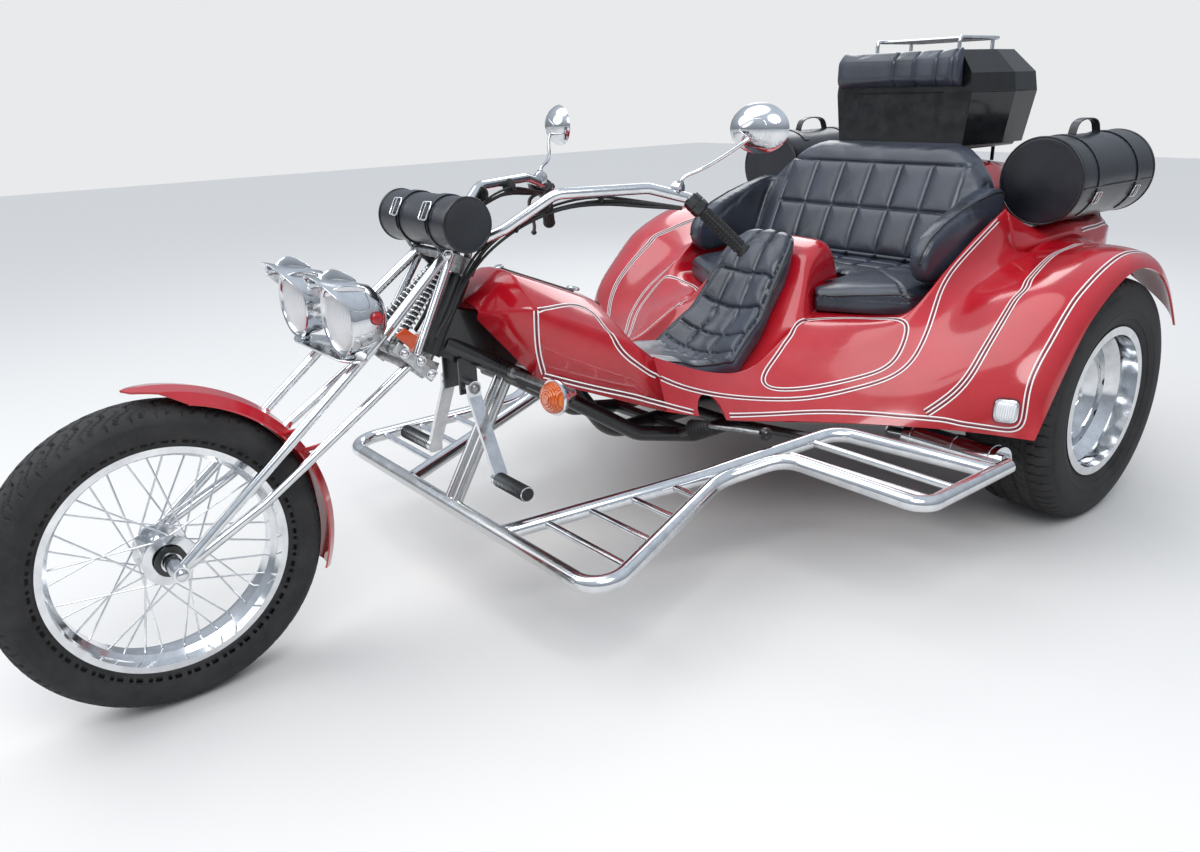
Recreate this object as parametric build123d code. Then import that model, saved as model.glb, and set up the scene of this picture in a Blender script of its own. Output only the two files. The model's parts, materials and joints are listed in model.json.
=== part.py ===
from build123d import *
import math
import os

os.makedirs("parts", exist_ok=True)

# The trike is drawn from its rear axle: X forward, Y to the rider's left, Z up from the floor.
# All sizes are in millimetres.

# Wheels
WHEELBASE = 2223.0
REAR_TYRE_R = 337.5
REAR_TYRE_WIDTH = 250.0
REAR_WHEEL_Y = 735.0
REAR_BEAD_R = REAR_TYRE_R - 146.5
REAR_LIP_R = REAR_BEAD_R + 16.5
REAR_RIM_HALF = 110.0
REAR_RIM_WALL = 6.0
DRUM_R = 118.0
SPINDLE_R = 20.0
FRONT_TYRE_R = 320.0
FRONT_TYRE_WIDTH = 128.0
FRONT_BEAD_R = FRONT_TYRE_R - 91.0
FRONT_FLANGE_R = FRONT_BEAD_R + 13.3
FRONT_RIM_HALF = 47.0
SPOKE_R = 2.0
SPOKE_COUNT = 36
HUB_R = 30.0
HUB_FLANGE_R = 52.0
HUB_HALF = 40.0
AXLE_R = 9.0

# Clearances: a running fit, and a piece resting on its seat
RUNNING_GAP = 0.3
SEAT_GAP = 0.3

# Body shell
SHELL_WALL = 6.0
TAIL_X = -560.0
DECK_Z = 555.0

# Steering head: its axis leans back by the rake, through the head's middle
RAKE_DEG = 30.0
HEAD_X = 1545.0
HEAD_Z = 700.0
HEAD_LENGTH = 190.0
HEAD_R = 30.0
STEM_R = 17.0
YOKE_R = 34.0
YOKE_LENGTH = 32.0
YOKE_GAP = 12.0

# Fork
BLADE_TUBE_R = 11.0
BLADE_TOP = (1559.0, 60.0, 846.0)
BLADE_SPREAD = (1745.0, 93.0, 698.7)
BLADE_LOW = (1672.0, 94.0, 638.0)
BLADE_LOW_BEND = (WHEELBASE - 183.0, 102.0, FRONT_TYRE_R + 89.0)
BLADE_AXLE_Y = 103.0
LINK_REAR = (1650.0, 604.0)
LINK_FRONT = (1709.0, 662.0)
LINK_Y = 115.0
LINK_THICK = 6.0
SPRING_R = 13.0
SPRING_LOW_Y = 64.0
SPRING_TOP = (1534.0, 17.0, 818.5)

# Head lamps
LAMP_Y = 114.0
LAMP_Z = 757.0

# Handlebar
BAR_R = 12.5
GRIP_R = 16.5
GRIP_FIT = 0.15
HOUSING_R = 23.0
HOUSING_SHARE = 0.24
ARM_OUTER_Y = 43.0
CABLE_R = 5.0
CABLE_Y = ARM_OUTER_Y + CABLE_R + 0.3
GRIP_START = (1035.0, 287.0, 935.0)
GRIP_END = (955.0, 385.0, 815.0)

# Frame
RAIL_R = 20.0
RAIL_Y = 170.0
RAIL_Z = 290.0
TORSION_X = 430.0
TORSION_Z = 335.0
TORSION_R = 36.0
TORSION_HALF = 430.0
STAY_BAR = (1390.0, 520.0)
GEAR_X = 960.0
GEAR_ARCH_R = 38.0
GEAR_ARCH_Z = 396.0
SILENCER = ((398, 508, 251), (440, 800, 268))
BOARD_BRACKET_X = 760.0

# Chrome tube frame of the footboards
BOARD_TUBE_R = 19.0
RUNG_R = 9.0
CROSSBAR_X = 1565.0
CROSSBAR_Z = 226.0
CROSSBAR_HALF = 480.0

# Top box
BOX_FRONT_X = -180.0
BOX_REAR_X = -610.0
BOX_WALL = 4.0
BOX_BASE_Z = 985.0
BOX_BASE_HEIGHT = 153.0
BOX_LID_HEIGHT = 124.0
RACK_HEIGHT = 38.0
BOX_SPLIT_Z = BOX_BASE_Z + BOX_BASE_HEIGHT
BOX_LID_Z = BOX_SPLIT_Z + BOX_LID_HEIGHT
RACK_Z = BOX_LID_Z + RACK_HEIGHT

# Number plate
PLATE_Z = 513.0
PLATE_HOLE_Y = 240.0
PLATE_HOLE_R = 3.5

# Side bags
BAG_R = 124.0
BAG_Y = 512.0
BAG_Z = 894.0
BAG_FRONT_X = -145.0
BAG_REAR_X = -600.0

# The origin is under the middle of the trike's length
ORIGIN_X = (WHEELBASE + FRONT_TYRE_R + BOX_REAR_X) / 2


def save(name, shape):
    """Write one node's STEP file, with the origin under the middle of the trike."""
    export_step(shape.moved(Location((-ORIGIN_X, 0, 0))), f"parts/{name}.step")


def other_side(shape):
    """The same piece on the right side."""
    return mirror(shape, about=Plane.XZ)


def pair(shape):
    """A piece and its twin on the right side, as one node of two solids."""
    return shape + other_side(shape)


def rod(start, end, radius):
    """A straight round bar between two points."""
    start = Vector(*start)
    along = Vector(*end) - start
    return Solid.make_cylinder(radius, along.length, Plane(origin=start, z_dir=along))


def cone(start, end, start_r, end_r):
    """A straight taper between two points."""
    start = Vector(*start)
    along = Vector(*end) - start
    return Solid.make_cone(start_r, end_r, along.length, Plane(origin=start, z_dir=along))


def tube(points, radius, bends):
    """A bent round bar through the points, with one bend radius for each inner point."""
    path = FilletPolyline(*points, radius=bends)
    start = Plane(origin=points[0], z_dir=Vector(*points[1]) - Vector(*points[0]))
    return sweep(start * Circle(radius), path=path)


def block(x, y, z):
    """A block from its low and high limits on each axis."""
    middle = Location(((x[0] + x[1]) / 2, (y[0] + y[1]) / 2, (z[0] + z[1]) / 2))
    return middle * Box(x[1] - x[0], y[1] - y[0], z[1] - z[0])


def side_plate(outline, y):
    """A flat plate with its outline in X and Z, between two values of Y."""
    face = make_face(Polyline(*[(px, y[0], pz) for px, pz in outline], close=True))
    return extrude(face, amount=y[1] - y[0], dir=(0, 1, 0))


def flat_plate(outline, z):
    """A flat plate with its outline in X and Y, between two values of Z."""
    face = make_face(Polyline(*[(px, py, z[0]) for px, py in outline], close=True))
    return extrude(face, amount=z[1] - z[0], dir=(0, 0, 1))


def front_plate(outline, x):
    """A flat plate with its outline in Y and Z, between two values of X."""
    face = make_face(Polyline(*[(x[0], py, pz) for py, pz in outline], close=True))
    return extrude(face, amount=x[1] - x[0], dir=(1, 0, 0))


def lathe(outline, y, z):
    """A round piece about a line along X. The outline gives the place along X and the radius."""
    face = make_face(Polyline(*[(px, 0, pr) for px, pr in outline], close=True))
    ring = revolve(face, axis=Axis.X, revolution_arc=360)
    return ring.moved(Location((0, y, z)))


def turned(outline, centre):
    """A ring about a wheel's axis. The outline gives the place along Y and the radius."""
    face = make_face(Polyline(*[(0, py, pr) for py, pr in outline], close=True))
    ring = revolve(face, axis=Axis.Y, revolution_arc=360)
    return ring.moved(Location(centre))


def mirrored(points, side):
    """The points on the left for side 1, on the right for side -1."""
    return [(px, side * py, pz) for px, py, pz in points]


def between(start, end, share):
    """The point at a share of the way between two points."""
    return tuple(a + (b - a) * share for a, b in zip(start, end))


def mitred(corners, wall, closed=False):
    """The corners moved in by the wall along their mitres, for an outline with its inside on the left."""
    count = len(corners)
    sides = list(zip(corners, corners[1:] + (corners[:1] if closed else [])))
    normals = []
    for here, there in sides:
        du = there[0] - here[0]
        dv = there[1] - here[1]
        length = math.hypot(du, dv)
        normals.append((-dv / length, du / length))
    moved = []
    for index, (pu, pv) in enumerate(corners):
        before = normals[index - 1] if index or closed else normals[0]
        after = normals[index % count] if closed else normals[min(index, len(normals) - 1)]
        spread = 1 + before[0] * after[0] + before[1] * after[1]
        moved.append((
            pu + wall * (before[0] + after[0]) / spread, pv + wall * (before[1] + after[1]) / spread,
        ))
    return moved


def panel(sections):
    """A panel lofted through bands: each section is its station, outer corners and inner corners."""
    bands = []
    for station, outer, inner in sections:
        loop = [(station, py, pz) for py, pz in outer + inner[::-1]]
        bands.append(make_face(Polyline(*loop, close=True)))
    return loft(bands, ruled=True)


def both_halves(half):
    """A section from the left edge over the centre line to the right edge."""
    return half + [(-py, pz) for py, pz in half[-2::-1]]


# Nose and tank. Each row: station, then y and z of sill, shoulder, upper edge, ridge, centre
NOSE_ROWS = [
    (1492, [(62, 690), (72, 712), (46, 722), (22, 724), (0, 725)]),
    (1395, [(150, 545), (152, 713), (72, 782), (26, 789), (0, 790)]),
    (1150, [(238, 445), (208, 600), (66, 682), (26, 689), (0, 690)]),
    (1085, [(262, 420), (212, 552), (170, 530), (60, 522), (0, 520)]),
]

# Rider's tub and the hump behind it. Each row: station, then y and z of sill, knee line, rim,
# seat pan edge, centre
TUB_ROWS = [
    (1085, [(262, 420), (240, 480), (212, 552), (170, 530), (0, 520)]),
    (900, [(318, 365), (262, 430), (226, 474), (198, 432), (0, 410)]),
    (745, [(400, 350), (300, 415), (234, 440), (206, 402), (0, 382)]),
    (610, [(560, 348), (400, 440), (230, 535), (206, 492), (0, 470)]),
    (500, [(735, 348), (560, 452), (232, 555), (196, 620), (0, 615)]),
]

# Rear body. Each row: station, then y and z of arch lip, outer crown, inner crown, valley,
# shoulder, inner top, deck edge, hump foot, hump top, centre
BODY_ROWS = [
    (
        500,
        [
            (735, 348), (728, 375), (650, 430), (560, 452), (420, 500), (400, 508), (260, 548), (232, 555),
            (196, 620), (0, 615),
        ],
    ),
    (
        440,
        [
            (875, 345), (868, 470), (750, 535), (560, 510), (474, 550), (460, 551), (300, 555), (176, 556),
            (160, 700), (0, 700),
        ],
    ),
    (
        350,
        [
            (875, 470), (866, 560), (745, 618), (545, 560), (488, 620), (476, 618), (470, 556), (160, 556),
            (140, 742), (0, 752),
        ],
    ),
    (
        270,
        [
            (875, 572), (864, 645), (742, 678), (530, 600), (488, 680), (476, 678), (470, 556), (140, 556),
            (120, 740), (0, 748),
        ],
    ),
    (
        235,
        [
            (875, 606), (864, 670), (740, 696), (527, 613), (488, 698), (476, 696), (470, 556), (130, 556),
            (110, 556), (0, 556),
        ],
    ),
    (
        40,
        [
            (875, 706), (862, 745), (735, 755), (520, 665), (488, 800), (476, 798), (470, 556), (130, 556),
            (110, 556), (0, 556),
        ],
    ),
    (
        -30,
        [
            (875, 706), (862, 745), (735, 755), (520, 680), (484, 825), (472, 823), (466, 556), (130, 556),
            (110, 556), (0, 556),
        ],
    ),
]
# Behind the bench. Each row: station, then y and z of arch lip, outer crown, inner crown, shelf
# edge, shelf, wall foot, wall top, roof, centre
BACK_ROWS = [
    (
        -30,
        [
            (875, 706), (862, 745), (735, 755), (520, 680), (484, 825), (466, 740), (455, 655), (100, 655),
            (0, 655),
        ],
    ),
    (
        -160,
        [
            (875, 668), (862, 720), (735, 745), (540, 725), (505, 752), (400, 765), (300, 930), (100, 940),
            (0, 941),
        ],
    ),
    (
        -250,
        [
            (874, 590), (860, 655), (735, 705), (560, 735), (520, 769.6), (390, 769.6), (300, 930),
            (100, 942), (0, 943),
        ],
    ),
    (
        -335,
        [
            (870, 467), (855, 545), (735, 620), (572, 735), (540, 769.6), (385, 769.6), (300, 930),
            (100, 942), (0, 943),
        ],
    ),
]
# Tail. Each row: station, then y and z of lower edge, side top, shelf, wall foot, wall top, roof, centre
TAIL_ROWS = [
    (-335, [(590, 455), (572, 735), (540, 769.6), (385, 769.6), (300, 930), (100, 942), (0, 943)]),
    (TAIL_X, [(560, 430), (545, 734), (515, 766), (380, 766), (290, 900), (100, 912), (0, 913)]),
]
# The corners outside the valley belong to the fenders
OUTER_COUNT = 3


def shell(rows, first=0, last=None):
    """A panel through the rows: from one corner to its twin, or the left strip before a corner."""
    sections = []
    for station, half in rows:
        full = both_halves(half)
        inner = mitred(full, SHELL_WALL)
        stop = len(full) - first if last is None else last
        sections.append((station, full[first:stop], inner[first:stop]))
    return panel(sections)


def row_at(rows, station):
    """The half section between two rows."""
    for (x0, near), (x1, far) in zip(rows, rows[1:]):
        if x1 <= station <= x0:
            share = (x0 - station) / (x0 - x1)
            return [between(a, b, share) for a, b in zip(near, far)]
    raise ValueError(f"no row at {station}")


def body():
    """The red glass-fibre body: nose, rider's tub, rear body with its deck, fenders and tail."""
    save("nose_shell", shell(NOSE_ROWS))
    tub = shell(TUB_ROWS)
    # The arch that the gear lever passes through
    arch = rod((GEAR_X, 215, GEAR_ARCH_Z), (GEAR_X, 360, GEAR_ARCH_Z), GEAR_ARCH_R)
    arch += block((GEAR_X - GEAR_ARCH_R, GEAR_X + GEAR_ARCH_R), (215, 360), (300, GEAR_ARCH_Z))
    tub -= arch
    save("rider_tub", tub)
    save("rear_body", shell(BODY_ROWS, first=OUTER_COUNT))
    fender = shell(BODY_ROWS, last=OUTER_COUNT + 1) + shell(BACK_ROWS, last=OUTER_COUNT + 1)
    save("fender_left", fender)
    save("fender_right", other_side(fender))
    tail = shell(BACK_ROWS, first=OUTER_COUNT) + shell(TAIL_ROWS)
    closing = both_halves(mitred(TAIL_ROWS[-1][1], SHELL_WALL / 2))
    back = make_face(Polyline(*[(TAIL_X, py, pz) for py, pz in closing], close=True))
    tail += extrude(back, amount=SHELL_WALL, dir=(1, 0, 0))
    save("tail_shell", tail - plate_holes())


def plate_holes():
    """The two bolt holes of the number plate, through its carrier and the tail."""
    holes = [
        rod(
            (TAIL_X - 20, side * PLATE_HOLE_Y, PLATE_Z), (TAIL_X + 20, side * PLATE_HOLE_Y, PLATE_Z),
            PLATE_HOLE_R,
        )
        for side in (1, -1)
    ]
    return holes[0] + holes[1]


def rear_wheel():
    """One rear wheel: tyre, steel rim with a slotted disc, and the brake drum behind it."""
    centre = (0, REAR_WHEEL_Y, REAR_TYRE_R)
    half = REAR_TYRE_WIDTH / 2
    flange = REAR_RIM_HALF - REAR_RIM_WALL
    side = [
        (flange, REAR_BEAD_R), (flange, REAR_LIP_R + 2), (flange + 8, REAR_LIP_R + 10), (
            half, REAR_LIP_R + 55,
        ),
        (half - 6, REAR_TYRE_R - 30), (half - 24, REAR_TYRE_R - 6), (half - 50, REAR_TYRE_R),
    ]
    tyre = turned([(-py, pr) for py, pr in side] + side[::-1], centre)
    well = REAR_BEAD_R - 26
    wall = REAR_RIM_WALL
    barrel = turned(
        [
            (-REAR_RIM_HALF, REAR_LIP_R), (-flange, REAR_LIP_R), (-flange, REAR_BEAD_R), (-70, REAR_BEAD_R),
            (-50, well), (30, well), (60, REAR_BEAD_R), (flange, REAR_BEAD_R), (flange, REAR_LIP_R),
            (REAR_RIM_HALF, REAR_LIP_R), (REAR_RIM_HALF, REAR_BEAD_R - wall), (62, REAR_BEAD_R - wall),
            (32, well - wall), (-52, well - wall), (-72, REAR_BEAD_R - wall), (
                -REAR_RIM_HALF, REAR_BEAD_R - wall,
            ),
        ],
        centre,
    )
    disc = turned(
        [
            (0, 0), (0, 70), (34, 112), (34, 130), (10, well - wall + 1), (2, well - wall + 1),
            (26, 128), (26, 114), (-7, 72), (-7, 0),
        ],
        centre,
    )
    slot = rod(
        (centre[0] + 134, centre[1] - 10, centre[2]), (centre[0] + 134, centre[1] + 60, centre[2]), 12,
    )
    slots = [slot.rotate(Axis(centre, (0, 1, 0)), turn * 30) for turn in range(12)]
    cap = turned([(0, 0), (34, 0), (40, 12), (34, 26), (10, 36), (0, 36)], centre)
    rim = (barrel + disc - slots) + cap
    inner = 572 - REAR_WHEEL_Y
    bore = SPINDLE_R + RUNNING_GAP
    drum = turned(
        [
            (inner, bore), (inner, DRUM_R), (inner + 68, DRUM_R), (inner + 68, 62), (-7, 62), (-7, 0),
            (inner + 93, 0), (inner + 93, bore),
        ],
        centre,
    )
    return tyre, rim, drum


def front_wheel():
    """The front wheel: tyre, and the rim, hub and laced spokes as one piece."""
    centre = (WHEELBASE, 0, FRONT_TYRE_R)
    half = FRONT_TYRE_WIDTH / 2
    flange = FRONT_RIM_HALF - 5
    side = [
        (flange, FRONT_BEAD_R), (flange, FRONT_FLANGE_R + 2), (flange + 6, FRONT_FLANGE_R + 6),
        (half, FRONT_FLANGE_R + 34), (half - 4, FRONT_TYRE_R - 28), (half - 22, FRONT_TYRE_R - 10), (
            18, FRONT_TYRE_R,
        ),
    ]
    tyre = turned([(-py, pr) for py, pr in side] + side[::-1], centre)
    outer = [
        (
            FRONT_RIM_HALF, FRONT_FLANGE_R,
        ), (flange, FRONT_FLANGE_R), (flange, FRONT_BEAD_R), (24, FRONT_BEAD_R - 2),
        (14, FRONT_BEAD_R - 12),
    ]
    inner = [(FRONT_RIM_HALF, FRONT_BEAD_R - 5), (26, FRONT_BEAD_R - 8), (16, FRONT_BEAD_R - 18)]
    wheel = turned(outer + [(-py, pr) for py, pr in outer[::-1] + inner] + inner[::-1], centre)
    bore = AXLE_R + RUNNING_GAP
    hub = [
        (HUB_HALF - 10, HUB_R), (HUB_HALF - 6, HUB_FLANGE_R), (HUB_HALF, HUB_FLANGE_R), (HUB_HALF, 24),
        (HUB_HALF + 14, 20), (HUB_HALF + 14, bore),
    ]
    wheel += turned([(-py, pr) for py, pr in hub[::-1]] + hub, centre)
    rim_r = FRONT_BEAD_R - 15
    flange_r = HUB_FLANGE_R - 5
    spokes = []
    for index in range(SPOKE_COUNT):
        side = 1 if index % 2 else -1
        lean = 1 if index % 4 < 2 else -1
        at_rim = math.radians(index * 360 / SPOKE_COUNT)
        at_hub = at_rim + math.radians(lean * 62)
        spokes.append(
            rod(
                (
                    WHEELBASE + flange_r * math.cos(at_hub), side * (HUB_HALF - 3),
                    FRONT_TYRE_R + flange_r * math.sin(at_hub),
                ),
                (WHEELBASE + rim_r * math.cos(at_rim), side * 6, FRONT_TYRE_R + rim_r * math.sin(at_rim)),
                SPOKE_R,
            )
        )
    return tyre, wheel.fuse(*spokes)


def wheels():
    tyre, rim, drum = rear_wheel()
    for name, piece in (("tyre", tyre), ("rim", rim), ("drum", drum)):
        save(f"rear_{name}_left", piece)
        save(f"rear_{name}_right", other_side(piece))
    tyre, wheel = front_wheel()
    save("front_tyre", tyre)
    save("front_wheel", wheel)


# Unit vectors up the steering axis, and square to it towards the front
STEER = Vector(-math.sin(math.radians(RAKE_DEG)), 0, math.cos(math.radians(RAKE_DEG)))
AHEAD = Vector(STEER.Z, 0, -STEER.X)


def on_head(height, forward=0.0):
    """A point at a height along the steering axis from the head's middle, and out in front of it."""
    place = Vector(HEAD_X, 0, HEAD_Z) + STEER * height + AHEAD * forward
    return (place.X, place.Y, place.Z)


HEAD_HALF = HEAD_LENGTH / 2
YOKE_AT = HEAD_HALF + YOKE_GAP + YOKE_LENGTH / 2
PEDAL_PIVOT = (1512.0, 50.0, 530.0)


def chassis():
    """The welded frame: steering head, two side rails, backbone, torsion tube and box hoop."""
    frame = rod(on_head(-HEAD_HALF), on_head(HEAD_HALF), HEAD_R)
    gusset = [
        on_head(-HEAD_HALF + 6)[::2], on_head(20)[::2], (1440, 690), (1330, 590), (1375, 548), (1530, 585),
    ]
    for side in (1, -1):
        frame += tube(
            [
                (1552, side * 14, 636), (1340, side * 90, 505), (1080, side * 140, 330),
                (900, side * RAIL_Y, RAIL_Z), (TORSION_X, side * RAIL_Y, RAIL_Z),
            ],
            RAIL_R, [90, 90, 90],
        )
        frame += side_plate(gusset, (side * 24 - 3, side * 24 + 3))
        frame += side_plate(
            [(1488, 512), (1536, 512), (1536, 600), (1488, 600)], (side * 36 - 3, side * 36 + 3),
        )
        frame += rod((TORSION_X, side * 110, TORSION_Z), (60, side * 110, 320), 22)
        frame += tube(
            [
                (TORSION_X, side * 380, TORSION_Z), (200, side * 380, 470), (-215, side * 380, 480),
                (-215, side * 255, 905), (-215, 0, 905),
            ],
            14, [60, 60, 60],
        )
        frame += rod(
            (TORSION_X, side * RAIL_Y, RAIL_Z), (TORSION_X, side * 250, DECK_Z - SHELL_WALL - 3), 12,
        )
        frame += rod((BOARD_BRACKET_X, side * RAIL_Y, RAIL_Z), (BOARD_BRACKET_X, side * 462, 322), 13)
    frame += rod((TORSION_X, -TORSION_HALF, TORSION_Z), (TORSION_X, TORSION_HALF, TORSION_Z), TORSION_R)
    frame += tube(
        [on_head(-15), (1320, 0, 630), (1060, 0, RAIL_Z), (BOARD_BRACKET_X, 0, RAIL_Z)], 22, [120, 120],
    )
    for x in (900, BOARD_BRACKET_X):
        frame += rod((x, -RAIL_Y, RAIL_Z), (x, RAIL_Y, RAIL_Z), 16)
    frame += rod((STAY_BAR[0], -86, STAY_BAR[1]), (STAY_BAR[0], 86, STAY_BAR[1]), 14)
    frame += rod((GEAR_X, 158, 303), (GEAR_X - 6, 215, 328), 12)
    frame -= rod(on_head(-HEAD_HALF - 20), on_head(HEAD_HALF + 20), STEM_R + RUNNING_GAP)
    save("chassis_frame", frame)


def drivetrain():
    """Engine, gearbox, swinging axles with their arms, and the two silencers."""
    gearbox = block(
        (-90, 330), (-85, 85), (250, 425),
    ) + rod((-90, 0, REAR_TYRE_R), (-150, 0, REAR_TYRE_R), 160)
    save("gearbox", gearbox)
    engine = block((-500, -150), (-140, 140), (215, 440)) + block((-340, -180), (-250, 250), (430, 690))
    for side in (1, -1):
        for x in (-240, -400):
            engine += rod((x, side * 130, 330), (x, side * 310, 330), 60)
        low, high = sorted((side * 300, side * 345))
        engine += block((-480, -160), (low, high), (270, 390))
    save("engine", engine)
    centre = (0, 0, REAR_TYRE_R)
    axle = turned(
        [
            (85, 0), (85, 36), (552, 36), (552, DRUM_R + 4), (560, DRUM_R + 4), (560, SPINDLE_R),
            (655, SPINDLE_R), (655, 0),
        ],
        centre,
    )
    axle += side_plate([(470, 300), (470, 370), (-30, 372), (-30, 303)], (TORSION_HALF, TORSION_HALF + 12))
    save("rear_axles", pair(axle))
    pipe = tube(
        [(-240, 322, 270 - SEAT_GAP), (-240, 322, 222), (-60, 350, 215), (330, 395, 215), (400, 511, 250)],
        RAIL_R - 1, [28, 60, 60],
    )
    pipe += rod(*SILENCER, 38)
    save("exhausts", pair(pipe))


def footboards():
    """The chrome front crossbar with its stay, and the footboards with their rungs."""
    z = CROSSBAR_Z
    bar = rod((CROSSBAR_X, -CROSSBAR_HALF, z), (CROSSBAR_X, CROSSBAR_HALF, z), BOARD_TUBE_R)
    for side in (1, -1):
        bar += rod((CROSSBAR_X, side * 16, z), (STAY_BAR[0], side * 16, STAY_BAR[1]), 14)
    bar -= rod((STAY_BAR[0], -120, STAY_BAR[1]), (STAY_BAR[0], 120, STAY_BAR[1]), 14 + SEAT_GAP)
    ahead_of_bar = block((STAY_BAR[0] - 3, CROSSBAR_X + 40), (-600, 600), (z - 40, STAY_BAR[1] + 12))
    save("front_crossbar", (bar & ahead_of_bar).solids().sort_by(SortBy.VOLUME)[-1])
    corner = (CROSSBAR_X, 590, z)
    apex_x = 1075
    apex_z = 285
    outer = [
        (CROSSBAR_X, CROSSBAR_HALF, z), corner, (apex_x, 432, apex_z), (930, 510, 325), (880, 865, 300),
        (530, 862, 300),
    ]
    inner = [(CROSSBAR_X, 216, z), (apex_x, 392, apex_z), (725, 505, 340), (586, 862, 300)]
    board = tube(outer, BOARD_TUBE_R, [60, 110, 90, 55])
    board += tube(
        inner, BOARD_TUBE_R, [150, 90],
    ) - rod((CROSSBAR_X, 0, z), (CROSSBAR_X, CROSSBAR_HALF, z), BOARD_TUBE_R + SEAT_GAP)
    for x in (1465, 1365, 1265, 1165):
        share = (CROSSBAR_X - x) / (CROSSBAR_X - apex_x)
        board += rod(between(inner[0], inner[1], share), between(corner, outer[2], share), RUNG_R)
    for ahead, behind in ((0.12, 0.13), (0.57, 0.4)):
        board += rod(between(outer[3], inner[2], ahead), between(outer[4], outer[5], behind), RUNG_R)
    board -= rod((BOARD_BRACKET_X, RAIL_Y, RAIL_Z), (BOARD_BRACKET_X, 462, 322), 13 + SEAT_GAP)
    save("footboards", pair(board))
    x, y, height = PEDAL_PIVOT
    pedal = rod((x, 39.3, height), (x, 66, height), 17)
    bar = [
        (54, height + 10), (64, height + 10), (66, height - 20), (158, 338), (158, 312), (149, 312),
        (147, 334), (56, height - 22),
    ]
    pedal += front_plate(bar, (x - 16, x + 18))
    pedal += rod((x + 7, 145, 329), (x + 16, 285, 335), 17)
    save("foot_pedals", pair(pedal))
    knob = (890, 412, 352)
    lever = cone((GEAR_X - 6.1, 215.3, 328.1), (GEAR_X - 12, 272, 352), 27, 12)
    lever += rod((GEAR_X - 12, 270, 351), knob, 6)
    lever += Pos(*knob) * Sphere(17)
    save("gear_lever", lever)


# The rows under the rider's seat: those of the tub, and the front of the hump
SEAT_ROWS = [(station, half[-2:]) for station, half in TUB_ROWS + BODY_ROWS[:3]]


def seats():
    """Rider's scoop seat, and the bench with its wrap-round back."""
    # Each row: station, share of the pan's width, height of the cushion at its edge and middle
    rider_rows = [
        (1050, 0.62, 30, 36), (900, 0.94, 52, 50), (745, 0.96, 58, 48), (610, 0.96, 62, 56), (
            500, 0.96, 92, 92,
        ),
        (440, 0.94, 70, 74), (398, 0.88, 48, 50),
    ]
    bands = []
    for station, share, edge, middle in rider_rows:
        pan, centre = row_at(SEAT_ROWS, station)
        foot = between(centre, pan, share)
        below = both_halves([(foot[0], foot[1] + SEAT_GAP), (0, centre[1] + SEAT_GAP)])
        above = both_halves([(foot[0], foot[1] + edge), (0, centre[1] + middle)])
        bands.append(
            make_face(Polyline(*[(station, py, pz)
            for py, pz in above + below[::-1]], close=True))
        )
    save("rider_seat", loft(bands, ruled=True))
    base_z = (DECK_Z + 1 + SEAT_GAP, 640)
    half = [
        (-20, 0), (-20, 395), (200, 448), (330, 448), (448, 205), (440, 190), (300, 174), (232, 160),
        (232, 0),
    ]
    save("bench_base", flat_plate(half + [(px, -py) for px, py in half[-2:0:-1]], base_z))
    foot = base_z[1] + SEAT_GAP
    back = side_plate(
        [(-24, foot), (-24, 662), (-152, 944), (-165, 985), (-150, 1008), (-105, 1008), (75, foot)],
        (-402, 402),
    )
    front_view = [(402, foot - 10), (402, 880), (330, 960), (250, 1010)]
    front_view += [(-py, pz) for py, pz in front_view[::-1]]
    face = make_face(Polyline(*[(200, py, pz) for py, pz in front_view], close=True))
    back &= extrude(face, amount=500, dir=(-1, 0, 0))
    wing = [
        (-24, foot), (-26, 760), (-80, 850), (-95, 888), (-20, 905), (150, 860), (300, 790), (335, 700),
        (300, foot),
    ]
    for low, high in ((398, 462), (-462, -398)):
        back += side_plate(wing, (low, high))
    save("bench_back", back)


def box_outline(dx, scale):
    """The top box seen from above, a little smaller towards its lid and its floor."""
    plan = [(0, 250), (-180, 290), (-310, 290), (-430, 205)]
    half = [(BOX_FRONT_X + px * scale - dx, py * scale) for px, py in plan]
    return half + [(px, -py) for px, py in half[::-1]]


def box_part(levels):
    """A solid through box outlines at rising heights. Each level: height, setback, scale."""
    faces = []
    for height, setback, scale in levels:
        faces.append(
            make_face(Polyline(*[(px, py, height)
            for px, py in box_outline(setback, scale)], close=True))
        )
    return loft(faces, ruled=True)


def box_space(levels):
    """The space inside the box walls at the same levels."""
    faces = []
    for height, setback, scale in levels:
        outline = mitred(box_outline(setback, scale), BOX_WALL, closed=True)
        faces.append(make_face(Polyline(*[(px, py, height) for px, py in outline], close=True)))
    return loft(faces, ruled=True)


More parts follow.
